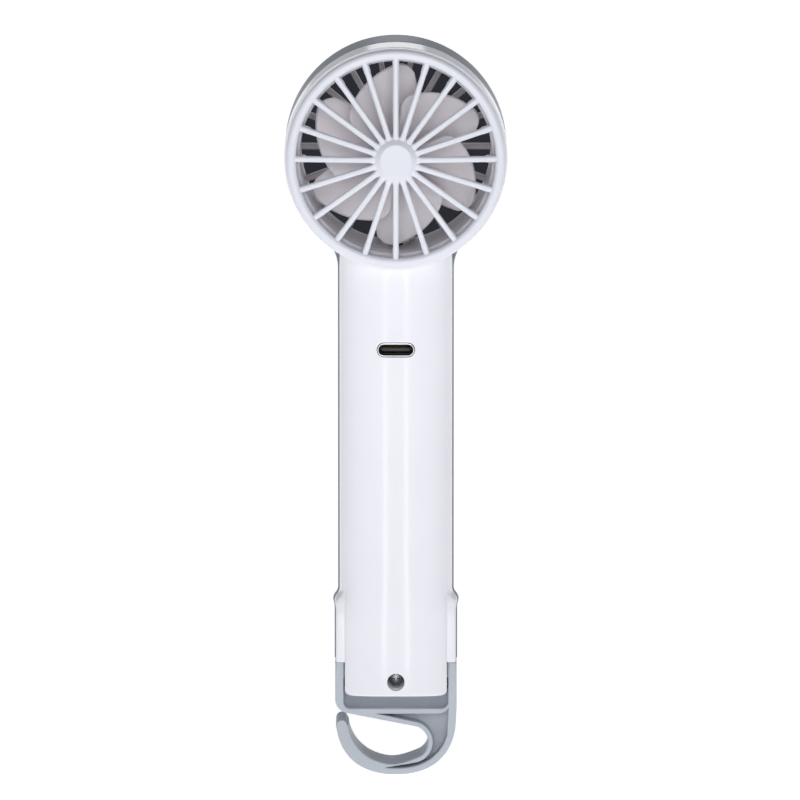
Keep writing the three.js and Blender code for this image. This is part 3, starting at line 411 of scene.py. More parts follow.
# %% [markdown]
# ## Camera, light and floor
# The fan stands upright on a pale light table. The camera is far away and slightly above, so upright
# edges stay parallel. A broad soft box in front gives even light, a strip behind brightens the top of
# the drum, and a fill light shapes the outlet side. The glowing table takes the shadows away.

# %% Camera
ELEVATION = np.radians(7.9)
DISTANCE = 2.5
look_at = np.array([1.0, 1.4, 90.8]) * MM  # about the middle of the fan
back = np.array([0.0, -np.cos(ELEVATION), np.sin(ELEVATION)])
camera_data = bpy.data.cameras.new("camera")
camera_data.lens = 463.4
camera_data.sensor_width = 36.0
camera_data.clip_end = 50.0
camera = bpy.data.objects.new("camera", camera_data)
camera.location = look_at + back * DISTANCE
camera.rotation_euler = (np.pi / 2 - ELEVATION, 0, 0)
bpy.context.scene.collection.objects.link(camera)
bpy.context.scene.camera = camera
bpy.context.scene.view_settings.view_transform = "Standard"


# %% Soft boxes and surroundings
def soft_box(name, position, aim, size, radiance):
    """A rectangular light; its power is radiance times pi times its area."""
    data = bpy.data.lights.new(name, "AREA")
    data.shape = "RECTANGLE"
    data.size, data.size_y = size
    data.energy = radiance * np.pi * size[0] * size[1]
    light = bpy.data.objects.new(name, data)
    light.location = position
    light.rotation_euler = (Vector(aim) - Vector(position)).to_track_quat("-Z", "Y").to_euler()
    bpy.context.scene.collection.objects.link(light)
    return light


soft_box("front_box", (0, -2.6, 0.75), (0, 0, 0.09), (1.3, 1.3), 4.2)
soft_box("back_strip", (0, 3.0, 0.62), (0, 0, 0.16), (0.34, 0.5), 0.75)
soft_box("rear_fill", (1.7, 2.0, 0.7), (0, 0, 0.09), (0.8, 0.8), 2.0)
world = bpy.data.worlds.new("studio")
bpy.context.scene.world = world
world.use_nodes = True
sky = world.node_tree
sky.nodes.clear()
# The room is bright at eye level and dim above, so faces that look up stay darker than upright ones.
direction = add(sky, "ShaderNodeTexCoord").outputs["Generated"]
height = add(sky, "ShaderNodeSeparateXYZ", links={"Vector": direction}).outputs["Z"]
fade = {"From Min": 0.0, "From Max": 0.5, "To Min": 0.55, "To Max": 0.27}
brightness = add(sky, "ShaderNodeMapRange", fade, {"Value": height}).outputs["Result"]
cool_white = (0.94, 0.96, 1.0, 1.0)
background = add(sky, "ShaderNodeBackground", {"Color": cool_white}, {"Strength": brightness})
add(sky, "ShaderNodeOutputWorld", links={"Surface": background.outputs["Background"]})

# %% [markdown]
# The two thin lines down the handle are mirror images. A ray from the camera leaves an upright glossy
# face downwards, so what it shows is the table in front of the fan: two glowing wedges lie there. A
# wedge, because a line of constant width must come from a light that widens with its distance.

# %% Glowing wedges on the table
WEDGE_NEAR, WEDGE_FAR, WEDGE_Z = 150.0, 900.0, 0.6
WEDGE_INNER, WEDGE_OUTER = np.radians(5.8), np.radians(10.6)
glow = bpy.data.materials.new("glowing_acrylic")
glow.use_nodes = True
glow.node_tree.nodes.clear()
emission = add(glow.node_tree, "ShaderNodeEmission", {"Color": (1, 1, 1, 1), "Strength": 3.8})
add(glow.node_tree, "ShaderNodeOutputMaterial", links={"Surface": emission.outputs["Emission"]})
for side in (-1, 1):
    distance = np.array([WEDGE_NEAR, WEDGE_FAR, WEDGE_FAR, WEDGE_NEAR])
    slope = np.tan([WEDGE_INNER, WEDGE_INNER, WEDGE_OUTER, WEDGE_OUTER])
    outline = np.stack([side * distance * slope, HANDLE_REAR_Y - distance, np.full(4, WEDGE_Z)], -1)
    wedge_mesh = bpy.data.meshes.new("light_wedge")
    wedge_mesh.from_pydata((outline * MM).tolist(), [], [(0, 1, 2, 3)])
    wedge_mesh.materials.append(glow)
    wedge = bpy.data.objects.new(f"light_wedge_{'left' if side < 0 else 'right'}", wedge_mesh)
    wedge.visible_camera = False
    bpy.context.scene.collection.objects.link(wedge)

# %% Light table
FLOOR_HALF, FLOOR_Z = 6.0, -0.0002
floor_mesh = bpy.data.meshes.new("light_table")
corners = np.array([(-1, -1), (1, -1), (1, 1), (-1, 1)]) * FLOOR_HALF
floor_mesh.from_pydata([(x, y, FLOOR_Z) for x, y in corners], [], [(0, 1, 2, 3)])
floor = bpy.data.objects.new("light_table", floor_mesh)
bpy.context.scene.collection.objects.link(floor)
table = finish("opal_acrylic_table", "#F4F4F6", 0.6, 3.0, 0.002, 0.005, 0.05, specular=0.2)
floor_mesh.materials.append(glowing(table, "#FFFFFF", 0.72))

# %% [markdown]
# The dark seen through the grille is painted shade: a dark sheet keeps the bright table from showing
# through the hollow head. It lies flat, far behind the fan, just as large as the grille's opening looks
# from the camera.

# %% Painted shade behind the head: a dark sheet on the table
camera_mm = np.array(camera.location) / MM
OPENING_Y, CARD_COVER, CARD_Z = -6.0, 24.6, 0.4
opening = np.array([0.0, OPENING_Y, HEAD_Z])
angle = np.linspace(0, 2 * np.pi, 64, endpoint=False)
rim = opening + np.stack([CARD_COVER * np.cos(angle), 0 * angle, CARD_COVER * np.sin(angle)], -1)
reach = camera_mm[2] / (camera_mm[2] - rim[:, 2])
on_floor = camera_mm + (rim - camera_mm) * reach[:, None]
on_floor[:, 2] = CARD_Z
card_mesh = bpy.data.meshes.new("painted_shade_sheet")
card_mesh.from_pydata((on_floor * MM).tolist(), [], [tuple(range(len(on_floor)))])
card = bpy.data.objects.new("painted_shade_sheet", card_mesh)
bpy.context.scene.collection.objects.link(card)
# Painted shade: a matt near-black sheet that glows dim grey, so it reads as shade through the grille.
painted_shade_finish = finish("painted_shade_card", "#101014", 1.0, 0.6, 0.05, 0.05, 0.0, specular=0.0)
card_mesh.materials.append(glowing(painted_shade_finish, "#2A2B31", 1.0))
print("card from y", np.round(on_floor[:, 1].min()), "to", np.round(on_floor[:, 1].max()), "mm")

# %% [markdown]
# ## Clamshell
# Each half is an outer skin: the handle's oval back, a concave fillet that carries it up into the drum,
# and the drum's band with its turned-over edge. The skin is one grid whose columns run down the handle.
# Openings replace a rectangle of that grid by rings that pass from the rectangle to the opening's edge.

# %% Handle sections
POWER = 2.5
# The slate half is a little wider, so that it shows as a thin line beside the white one.
REAR_HALF = dict(grip=13.72, flare=14.55, notch=12.62)
FRONT_HALF = dict(grip=14.05, flare=14.9, notch=12.62)
CENTRE_HALF = 11.4
FLARE_CROWN = 15.0
# Beside the hook's arms the crown ends in a crease, with a flat rail or the arm's own wall below it.
CREASE_TOP_X, CREASE_X = 12.0, 12.4
RIB_START, RIB_FULL = 1.7, 1.3
ARM_TOP_Z = place("hook")[1][2]
FLARE_TOP_Z = SHELL_BOTTOM_Z + 22.7


def crown(x, half_width, depth):
    """Height over the seam: depth times (1 - |x / half width| ^ 2.5) ^ 0.4."""
    return depth * (1 - np.clip(np.abs(x) / half_width, 0, 1) ** POWER) ** (1 / POWER)


def along(polyline, fractions):
    """Points of a polyline at fractions of its length."""
    length = np.concatenate([[0], np.cumsum(np.linalg.norm(np.diff(polyline, axis=0), axis=1))])
    return np.column_stack([np.interp(fractions * length[-1], length, c) for c in polyline.T])


def flare_side(depth, rail, flare_half):
    """Side of the lower handle: the crown's edge falls to a flat rail as wide as the hook's arm."""
    corners = [
        (CENTRE_HALF, crown(CENTRE_HALF, FLARE_CROWN, depth)),
        (CREASE_TOP_X, crown(CREASE_TOP_X, FLARE_CROWN, depth)),
        (CREASE_X, rail), (flare_half, rail), (flare_half, 0.0),
    ]
    bends = rounded(corners, [0.35, 0.25, 0.7], 5)
    wall = np.linspace(bends[-2], bends[-1], 11)[1:]
    return np.vstack([bends[:-1], wall])


def grip_side(depth, fractions, grip_half):
    """Side of the upper handle: the superellipse's own end."""
    start = np.arccos((CENTRE_HALF / grip_half) ** (POWER / 2))
    t = np.linspace(start, 0, 200)
    curve = np.column_stack([grip_half * np.cos(t) ** (2 / POWER), depth * np.sin(t) ** (2 / POWER)])
    return along(curve, fractions)


def notch_side(depth, count, notch_half):
    """Side of the handle's foot: a small edge, the wall beside the hook's arm, and a low rib that
    guides the arm."""
    corners = [
        (CENTRE_HALF, crown(CENTRE_HALF, FLARE_CROWN, depth)),
        (CREASE_X, crown(CREASE_X, FLARE_CROWN, depth)),
        (CREASE_X, RIB_START), (notch_half, RIB_FULL), (notch_half, 0.0),
    ]
    bends = rounded(corners, [0.5, 0.3, 0.3], 5)
    wall = np.linspace(bends[-2], bends[-1], count - len(bends) + 2)[1:]
    return np.vstack([bends[:-1], wall])


def whole_section(side, half_width, depth, centre_x):
    """Left seam to right seam: the mirrored side, the centre, the side."""
    centre = np.column_stack([centre_x, crown(centre_x, half_width, depth)])
    return np.vstack([side[:0:-1] * [-1, 1], centre, side[1:]])


# %% One half of the clamshell
FILLET_DOWN = 5.0
FOOT_EDGE, FOOT_CORNER, FOOT_ARCH, FOOT_LONGER = 0.5, 1.5, 0.25, 0.3
LIP = 0.12
SWELL = 0.45
FINE_TOP_Z, FINE_END_Z, FINE_STEP = 46.6, 38.0, 0.4  # rows lie closer together at the swelling
FLANGE_WIDTH, FLANGE_REACH = 1.2, 12.8


def smooth(t):
    """Smooth step from 0 to 1."""
    t = np.clip(t, 0, 1)
    return t * t * (3 - 2 * t)


def drum_floor(x):
    """Height of the drum's underside over a given x."""
    return HEAD_Z - np.sqrt(HEAD_RADIUS**2 - np.clip(x, -HEAD_RADIUS, HEAD_RADIUS) ** 2)


def opening_rings(boundary, outline, outline_wide, surface, inward_y, wall_depth):
    """Rings from a rectangle's boundary to an opening: over the skin, round the lip, down the wall."""
    blend = np.linspace(0, 1, 7)[:, None, None] ** 0.8
    flat = boundary * (1 - blend) + outline_wide * blend
    rings = [np.stack([r[:, 0], surface(r[:, 0]), r[:, 1]], -1) for r in flat]
    for phi in np.linspace(0, np.pi / 2, 5)[1:]:
        mix = np.sin(phi)
        r = outline_wide * (1 - mix) + outline * mix
        sunk = surface(r[:, 0]) + inward_y * LIP * (1 - np.cos(phi))
        rings.append(np.stack([r[:, 0], sunk, r[:, 1]], -1))
    last = rings[-1].copy()
    last[:, 1] = surface(0 * last[:, 0]) + inward_y * wall_depth
    rings.append(last)
    return np.stack(rings)


def to_y(height, side):
    """Y of a point at a height over the parting plane; it keeps half of the hairline gap."""
    return side * np.maximum(height, SEAM_GAP / 2) + SEAM_Y


def section_normal(section, half_width, depth):
    """Outward direction of a superellipse: (|x / w| ^ 1.5 / w, (y / d) ^ 1.5 / d), made one long."""
    across = np.sign(section[:, 0]) * np.abs(section[:, 0] / half_width) ** (POWER - 1) / half_width
    up = (section[:, 1] / depth) ** (POWER - 1) / depth
    normal = unit(np.column_stack([across, up]))
    normal[[0, -1]] = [[-1, 0], [1, 0]]
    return normal


def fillet_rows(side, grip, normal, fillet_out, edge_y):
    """A quarter ellipse between the drum and the handle, as deep as the drum's edge leaves room."""
    room = (abs(edge_y - SEAM_Y) - grip[:, 1]) / np.maximum(normal[:, 1], 1e-6)
    out = np.minimum(fillet_out(normal[:, 1]), room)
    phi = np.linspace(0, np.pi / 2, 15)[:, None]
    offset = out * (1 - np.sin(phi))
    below = FILLET_DOWN * (1 - np.cos(phi))
    x = grip[:, 0] + normal[:, 0] * offset
    return np.stack([x, to_y(grip[:, 1] + normal[:, 1] * offset, side), drum_floor(x) - below], -1)


def handle_rows(side, top, grip, flare, grip_half):
    """Straight rows under the fillet, then the swelling above the hook, down to the top of its arms."""
    level_z = top.min() - 1.2
    blend = np.linspace(0, 1, 5)[1:-1, None]
    y = to_y(grip[:, 1], side)
    rows = [np.stack([grip[:, 0], y, top + (level_z - top) * u], -1) for u in blend]
    levels = np.concatenate([
        np.arange(level_z, FINE_TOP_Z + FINE_STEP, -2 * FINE_STEP),
        np.arange(FINE_TOP_Z, FINE_END_Z, -FINE_STEP),
        np.linspace(FINE_END_Z - FINE_STEP, ARM_TOP_Z, 14),
    ])
    reach = np.clip((np.abs(grip[:, 0]) - CREASE_TOP_X) / (grip_half - CREASE_TOP_X), 0, 1)
    for z in levels:
        # The outline widens over a short height and the crown over a longer one.
        widen = smooth((FLARE_TOP_Z + 2.6 - z) / 3.4)
        settle = smooth((FLARE_TOP_Z + 7.0 - z) / 12.0)
        x = grip[:, 0] * (1 - widen) + flare[:, 0] * widen
        height = grip[:, 1] * (1 - settle) + flare[:, 1] * settle
        swell = SWELL * np.exp(-(((z - FLARE_TOP_Z) / 1.2) ** 2)) * np.sign(x) * reach
        rows.append(np.stack([x + swell, to_y(height, side), 0 * x + z], -1))
    return rows


def foot_rows(side, notch, notch_half, depth):
    """The walls beside the hook's arms, and the turned-over edge of the foot with its round corners."""
    span = np.abs(notch[:, 0]) / notch_half
    bottom = SHELL_BOTTOM_Z - FOOT_LONGER + FOOT_ARCH * (1 - span**2)
    to_corner = span**8
    edge = FOOT_EDGE + (FOOT_CORNER - FOOT_EDGE) * to_corner
    y = to_y(notch[:, 1], side)
    levels = np.linspace(ARM_TOP_Z - 0.4, SHELL_BOTTOM_Z + 0.82, 16)
    rows = []
    for z in np.concatenate([[ARM_TOP_Z - 0.02], levels]):
        rows.append(np.stack([notch[:, 0], y, np.maximum(z, bottom + edge)], -1))
    for phi in np.linspace(np.pi / 2, 0, 9)[1:]:
        gone, fallen = 1 - np.sin(phi), 1 - np.cos(phi)
        x = notch[:, 0] * (1 - FOOT_CORNER * gone * to_corner / notch_half)
        turned_y = to_y(notch[:, 1] * (1 - FOOT_EDGE * gone / depth), side)
        rows.append(np.stack([x, turned_y, bottom + edge * fallen], -1))
    return rows


def cut_opening(skin, keep, column_x, hole, side, depth):
    """Rings from a rectangle of the grid to the hole's edge. The rectangle's own quads are dropped."""
    z_rows = skin[:, skin.shape[1] // 2, 2]
    rows = np.where(np.abs(z_rows - hole["z"]) <= hole["half_z"])[0]
    columns = np.where(np.abs(column_x) <= hole["half_x"])[0]
    r0, r1, c0, c1 = rows[0], rows[-1], columns[0], columns[-1]
    keep[r0:r1, c0:c1] = False
    edge = np.concatenate([
        skin[r0, c0:c1], skin[r0:r1, c1], skin[r1, c1:c0:-1], skin[r1:r0:-1, c0],
    ])
    boundary = edge[:, [0, 2]]
    outline, wide = hole["outline"](boundary)
    surface = lambda x: to_y(crown(x, hole["crown"], depth), side)
    rings = opening_rings(boundary, outline, wide, surface, -side, hole["wall"])
    rings[0] = edge
    parts = [grid(rings, close_columns=True)]
    if hole["floor"]:
        inner = rings[-1].copy()
        inner[:, 0] *= hole["floor"]
        inner[:, 2] = hole["z"] + (inner[:, 2] - hole["z"]) * hole["floor"]
        parts.append(grid(np.stack([rings[-1], inner]), close_columns=True))
    return parts


def flange(skin):
    """Flat strips along the parting line, with which the wider half closes over the narrower one."""
    strips = []
    for end in (0, -1):
        outer_line = skin[:, end]
        inner_line = outer_line.copy()
        width = np.minimum(np.abs(outer_line[:, 0]) - FLANGE_WIDTH, FLANGE_REACH)
        inner_line[:, 0] = np.sign(outer_line[:, 0]) * width
        strips.append(grid(np.stack([outer_line, inner_line], 1)))
    return strips


def sole(last_row, seam):
    """The foot's underside, up to the parting line."""
    ends = last_row[[-1, 0]].copy()
    ends[:, 1] = seam
    loop = np.vstack([last_row, ends])
    return loop, np.array(tessellate_polygon([[Vector((x, y, 0)) for x, y, _ in loop]]))


def drum(start, seam, edge_y, edge_profile):
    """The drum's band and edge. Its columns start on the fillet's outer line or on the seam."""
    under = np.arcsin(start[:, 0] / HEAD_RADIUS) - np.pi / 2
    over = np.linspace(under[-1], under[0] + 2 * np.pi, 180)[1:-1]
    theta = np.concatenate([under, over])
    begin = np.concatenate([start[:, 1], np.full(len(over), seam)])
    y = begin + (edge_y - begin) * np.linspace(0, 1, 16)[:, None]
    radius = np.full_like(y, HEAD_RADIUS)
    band = np.stack([radius * np.cos(theta), y, HEAD_Z + radius * np.sin(theta)], -1)
    r, y = np.asarray(edge_profile, float).T[:, :, None]
    lip = np.stack([r * np.cos(theta), y + 0 * theta, HEAD_Z + r * np.sin(theta)], -1)
    return grid(np.concatenate([band, lip]), close_columns=True)


def shell_half(side, rail, half, fillet_out, edge_y, edge_profile, holes):
    """Skin of one half, -1 for the back and 1 for the front. Its columns run from the drum to the foot."""
    seam, depth = (SEAM_REAR_Y, REAR_DEPTH) if side < 0 else (SEAM_FRONT_Y, FRONT_DEPTH)
    flare = flare_side(depth, rail, half["flare"])
    length = np.concatenate([[0], np.cumsum(np.linalg.norm(np.diff(flare, axis=0), axis=1))])
    grip = grip_side(depth, length / length[-1], half["grip"])
    notch = notch_side(depth, len(flare), half["notch"])
    centre_x = np.linspace(-CENTRE_HALF, CENTRE_HALF, 53)
    grip = whole_section(grip, half["grip"], depth, centre_x)
    flare = whole_section(flare, FLARE_CROWN, depth, centre_x)
    notch = whole_section(notch, FLARE_CROWN, depth, centre_x)

    fillet = fillet_rows(side, grip, section_normal(grip, half["grip"], depth), fillet_out, edge_y)
    rows = handle_rows(side, fillet[-1, :, 2], grip, flare, half["grip"])
    rows += foot_rows(side, notch, half["notch"], depth)
    skin = np.concatenate([fillet, np.stack(rows)])
    keep = np.ones((skin.shape[0] - 1, skin.shape[1] - 1), bool)
    parts = []
    for hole in holes:
        parts += cut_opening(skin, keep, grip[:, 0], hole, side, depth)
    points, quads = grid(skin)
    parts.append((points, quads[keep.ravel()]))
    if side > 0:
        parts += flange(skin)
    return parts + [sole(skin[-1], seam), drum(fillet[0], seam, edge_y, edge_profile)]


# %% Openings in the clamshell
def round_hole(z, radius, margin, wall, crown_half, floor=None):
    """A round opening: each ring point lies on the same ray from the centre as its boundary point."""
    def outline(boundary):
        ray = unit(boundary - [0, z])
        return [0, z] + ray * radius, [0, z] + ray * (radius + LIP)
    reach = radius + margin
    return dict(
        z=z, half_x=reach, half_z=reach, outline=outline, wall=wall, crown=crown_half, floor=floor,
    )


def slot_hole(z, width, height, margin, wall, crown_half):
    """A slot with round ends: the ray goes from the nearest point of the slot's centre line."""
    straight, radius = (width - height) / 2, height / 2
    def outline(boundary):
        rise = np.abs(boundary[:, 1] - z)
        part = np.clip(boundary[:, 0] / np.maximum(np.abs(boundary[:, 0]).max(), 1e-9), -1, 1)
        heart_x = np.clip(part * (width / 2), -straight, straight)
        on_end = rise < np.max(rise) * 0.999
        heart_x = np.where(on_end, np.sign(boundary[:, 0]) * straight, heart_x)
        heart = np.column_stack([heart_x, np.full(len(boundary), z)])
        ray = boundary - heart
        flat = ~on_end & (np.abs(part * (width / 2)) < straight)
        ray[flat, 0] = 0
        ray = unit(ray)
        return heart + ray * radius, heart + ray * (radius + LIP)
    return dict(
        z=z, half_x=width / 2 + margin, half_z=height / 2 + margin, outline=outline, wall=wall,
        crown=crown_half, floor=None,
    )


screw_low, screw_high = place("handle_screw")
SCREW_Z = (screw_low[2] + screw_high[2]) / 2
PORT_Z = (port_low[2] + port_high[2]) / 2
PORT_WIDTH, PORT_HEIGHT = port_high[0] - port_low[0], port_high[2] - port_low[2]
SLIT = 0.3
SCREW_RECESS_RADIUS = 2.1
SCREW_SEAT_Y = screw_low[1] + 1.8
rear_holes = [
    slot_hole(PORT_Z, PORT_WIDTH + SLIT, PORT_HEIGHT + SLIT, 1.4, 2.4, REAR_HALF["grip"]),
    round_hole(SCREW_Z, SCREW_RECESS_RADIUS, 0.62, SCREW_SEAT_Y - HANDLE_REAR_Y, FLARE_CROWN, 0.62),
]
EDGE_START = 0.3
rear_start = DRUM_REAR_Y + EDGE_START
rear_corners = [(HEAD_RADIUS, rear_start), (HEAD_RADIUS, DRUM_REAR_Y), (HEAD_RADIUS - 1.6, DRUM_REAR_Y)]
rear_edge = rounded(rear_corners, [0.28], 5)
REAR_RAIL, REAR_FILLET = 7.5, 0.95
rear_parts = shell_half(
    -1, REAR_RAIL, REAR_HALF, lambda facing: REAR_FILLET * facing**2, rear_start, rear_edge, rear_holes,
)
INSIDE = (0.0, SEAM_Y, 100.0)  # a point in the handle's hollow
piece(
    "rear_shell_skin", rear_parts, gloss_white_abs, "fan_body", ["rear_shell"],
    sharp=38, wall=1.3, outside_of=INSIDE,
)

# %% Front half
button_low, button_high = place("power_button")
lens_low, lens_high = place("indicator_lens")
BUTTON_Z, LENS_Z = (button_low[2] + button_high[2]) / 2, (lens_low[2] + lens_high[2]) / 2
BUTTON_RADIUS, LENS_RADIUS = 5.2, (lens_high[0] - lens_low[0]) / 2
MOUTH_RADIUS = 23.2
front_holes = [
    round_hole(BUTTON_Z, BUTTON_RADIUS + 0.25, 1.2, 1.8, FRONT_HALF["grip"]),
    round_hole(LENS_Z, LENS_RADIUS + 0.1, 1.0, 1.8, FRONT_HALF["grip"]),
]
front_start = HEAD_FRONT_Y - 1.2
front_corners = [
    (HEAD_RADIUS, front_start), (HEAD_RADIUS, HEAD_FRONT_Y),
    (MOUTH_RADIUS, HEAD_FRONT_Y), (MOUTH_RADIUS, front_start),
]
front_edge = rounded(front_corners, [0.9, 0.4], 6)
FRONT_RAIL, FRONT_FILLET = 5.5, 3.6
front_parts = shell_half(
    1, FRONT_RAIL, FRONT_HALF, lambda facing: FRONT_FILLET + 0 * facing, front_start, front_edge,
    front_holes,
)
piece(
    "front_shell_skin", front_parts, slate_abs, "fan_body", ["front_shell"],
    sharp=38, wall=1.1, outside_of=INSIDE,
)

# %% [markdown]
# ## Intake grille
# One bright moulding: a ring with a round back, a domed hub and twenty spokes. Each spoke is a
# section carried along a curve; it widens into a foot where it runs into the ring.

# %% Ring and hub
RING_Y = HUB_Y + 3.2
RING_INNER = 24.0
SPIGOT_OUTER, SPIGOT_END = HEAD_RADIUS - 1.9, DRUM_REAR_Y + 1.8
ring_profile = rounded(
    [
        (RING_RADIUS, DRUM_REAR_Y - 0.3), (RING_RADIUS, RING_Y), (RING_INNER, RING_Y),
        (RING_INNER, SPIGOT_END), (SPIGOT_OUTER, SPIGOT_END), (SPIGOT_OUTER, DRUM_REAR_Y - 0.3),
    ],
    [0.12, 1.1, 1.1, 0.2, 0.2, 0.02], 8, closed=True,
)
HUB_FACE, HUB_OUTER = 3.8, 5.4
hub_profile = rounded(
    [(0, HUB_Y), (HUB_FACE, HUB_Y), (HUB_OUTER, HUB_Y + 1.45), (HUB_OUTER, HUB_Y + 3.2), (0, HUB_Y + 3.0)],
    [0.6, 1.5, 0.3], 8,
)
grille_parts = [turned(ring_profile, turns=256), turned(hub_profile, closed=False, turns=128)]

# %% Spokes
SPOKES = 20
SPOKE_HALF_WIDTH, FOOT_HALF_WIDTH, SPOKE_DEPTH = 0.68, 0.8, 1.9
FOOT_START = 21.3
u = np.linspace(0, 1, 60)
inner_r, outer_r = 4.4, RING_INNER + 0.9
inner_y, outer_y = HUB_Y + 1.0, RING_Y + 0.5
bend_y = inner_y + 0.38 * (outer_y - inner_y)
path_r = inner_r + u * (outer_r - inner_r)
path_y = (1 - u) ** 2 * inner_y + 2 * u * (1 - u) * bend_y + u**2 * outer_y
foot = smooth((path_r - FOOT_START) / 0.8)
hub_fillet = 0.28 * np.exp(-(((path_r - 5.2) / 0.5) ** 2))
half_width = SPOKE_HALF_WIDTH + (FOOT_HALF_WIDTH - SPOKE_HALF_WIDTH) * foot + hub_fillet
deep = SPOKE_DEPTH + 1.6 * foot
spoke_corners = np.array([(-1, 0), (1, 0), (1, 1), (-1, 1)]) * [SPOKE_HALF_WIDTH, SPOKE_DEPTH]
bow = rounded(spoke_corners, [0.5, 0.5, 0.25, 0.25], 6, closed=True) / [SPOKE_HALF_WIDTH, SPOKE_DEPTH]
spoke = np.stack(
    [
        path_r[:, None] + 0 * bow[:, 0],
        path_y[:, None] + bow[:, 1] * deep[:, None],
        HEAD_Z + bow[:, 0] * half_width[:, None],
    ],
    -1,
)
tips = [np.repeat(spoke[[end]].mean(1, keepdims=True), spoke.shape[1], 1) for end in (0, -1)]
spoke = np.concatenate([tips[0], spoke, tips[1]])
grille_parts += [grid(one, close_columns=True) for one in spun(spoke, SPOKES)]
piece("rear_grille_skin", grille_parts, satin_white_abs, "fan_body", ["rear_grille"], 50)

# %% [markdown]
# ## Impeller
# Six thin petals round a domed hub. Seen from the intake each petal's leading side is radial and stands
# nearest; its outer side spirals out towards the duct, and it passes under the next petal's leading side.

# %% Petals
impeller_low, impeller_high = place("impeller")
IMPELLER_MID = (impeller_low[1] + impeller_high[1]) / 2 + 0.3
PETALS, PETAL_RISE, PETAL_HALF = 6, 7.4, 0.45
LEAD_ANGLE = np.radians(84)
ROOT_RADIUS, LEAD_RADIUS, SPIRAL_GAIN, SWEPT_RADIUS = 4.6, 14.5, 9.2, 22.1
LEAD_CORNER, TRAIL_CORNER = 2.3, 2.6
t = crowded(56)
s = np.linspace(0, 1, 40) ** 0.9
outer_angle, root_angle = np.radians(66) * t, np.radians(84) * t
spiral = np.minimum(LEAD_RADIUS + SPIRAL_GAIN * t, SWEPT_RADIUS)
lead_round, trail_round = np.clip(1 - t / 0.14, 0, 1), np.clip(1 - (1 - t) / 0.13, 0, 1)
spiral -= LEAD_CORNER * (1 - np.sqrt(1 - lead_round**2)) + TRAIL_CORNER * (1 - np.sqrt(1 - trail_round**2))
radius = ROOT_RADIUS + s[:, None] * (spiral - ROOT_RADIUS)
turn = LEAD_ANGLE - (root_angle + s[:, None] ** 1.2 * (outer_angle - root_angle))
rise = (t - 0.5) * PETAL_RISE + 0.5 * np.sin(np.pi * t)
petal_y = IMPELLER_MID + rise + 0 * radius
petal = np.stack([radius * np.cos(turn), petal_y, HEAD_Z + radius * np.sin(turn)], -1)
impeller_parts = []
for one in spun(petal, PETALS):
    impeller_parts += leaf(one, PETAL_HALF, 0.5)
nose, foot_y = impeller_low[1], impeller_high[1]
HUB_RADIUS, BORE_RADIUS, BORE_DEPTH = 5.8, 1.1, 4.0
bore_y = foot_y - BORE_DEPTH
dome = rounded(
    [
        (0, nose), (HUB_RADIUS, nose + 0.2), (HUB_RADIUS, foot_y), (BORE_RADIUS, foot_y),
        (BORE_RADIUS, bore_y), (0, bore_y),
    ],
    [2.4, 0.3, 0.1, 0.1], 10,
)
impeller_parts.append(turned(dome, closed=False, turns=96))
piece("impeller_skin", impeller_parts, milky_pc, "rotor", ["impeller"], 40)

# %% [markdown]
# ## Duct, outlet frame and motor cap
# The duct liner shows fine steps left by its moulding core. Eighteen flat vanes hold the motor's cup in
# the middle of the outlet, and a shallow cap closes it.

# %% Duct liner
duct_low, duct_high = place("duct_liner")
DUCT_OUTER = (duct_high[0] - duct_low[0]) / 2
DUCT_INNER = DUCT_OUTER - 2.0
step_y = np.array([0.0, 0.14, 0.3, 0.47, 0.66, 1.0]) * (duct_high[1] - duct_low[1]) + duct_low[1]
step_r = DUCT_INNER + np.array([0.30, 0.22, 0.14, 0.07, 0.0])
inner_line = np.column_stack([np.repeat(step_r, 2), np.repeat(step_y, 2)[1:-1]])
inner_line[1:-1:2, 1] -= 0.06
liner = np.vstack([inner_line, [[DUCT_OUTER, duct_high[1]], [DUCT_OUTER, duct_low[1]]]])
piece(
    "duct_liner_skin", [turned(liner, turns=192)], duct_plastic, "fan_body", ["duct_liner"],
    sharp=12,
)

# %% Outlet frame
frame_low, frame_high = place("motor_frame")
can_low, can_high = place("motor_can")
CUP_INNER = (can_high[0] - can_low[0]) / 2 + 0.3
CUP_OUTER = CUP_INNER + 2.0
VANES, VANE_HALF = 18, 0.6
VANE_REAR_Y, VANE_FRONT_Y = duct_high[1] + 0.3, HEAD_FRONT_Y - 1.7
SHOULDER, SHOULDER_Y = CUP_INNER - 2, can_low[1] - 0.3
cup = rounded(
    [
        (CUP_OUTER, frame_low[1]), (CUP_OUTER, frame_high[1]), (CUP_INNER, frame_high[1]),
        (CUP_INNER, SHOULDER_Y), (SHOULDER, SHOULDER_Y), (SHOULDER, frame_low[1]),
    ],
    [0.8, 0.25, 0.25, 0.1, 0.1, 0.1], 5, closed=True,
)
rim_corners = [
    (DUCT_OUTER, VANE_REAR_Y), (DUCT_OUTER, VANE_FRONT_Y),
    (DUCT_INNER, VANE_FRONT_Y), (DUCT_INNER, VANE_REAR_Y),
]
rim = rounded(rim_corners, [0.15, 0.15, 0.3, 0.15], 4, closed=True)
frame_parts = [turned(cup, turns=128), turned(rim, turns=192)]
vane_outline = box_outline(CUP_OUTER - 1, HEAD_Z - VANE_HALF, DUCT_INNER + 1, HEAD_Z + VANE_HALF, 0.3, 3)
for points, faces in plate([vane_outline], VANE_REAR_Y, VANE_FRONT_Y, 0.3):
    frame_parts += [(one, faces) for one in spun(points, VANES)]
GUIDE_LEFT, GUIDE_RIGHT, GUIDE_REAR_Y = 2.2, 3.2, 2.5
guide = box_outline(GUIDE_LEFT, HEAD_Z - DUCT_INNER + 0.8, GUIDE_RIGHT, HEAD_Z - CUP_OUTER + 1, 0.2, 3)
frame_parts += plate([guide], GUIDE_REAR_Y, VANE_REAR_Y + 1, 0.2)
piece("outlet_frame_skin", frame_parts, duct_plastic, "fan_body", ["motor_frame"], 40)

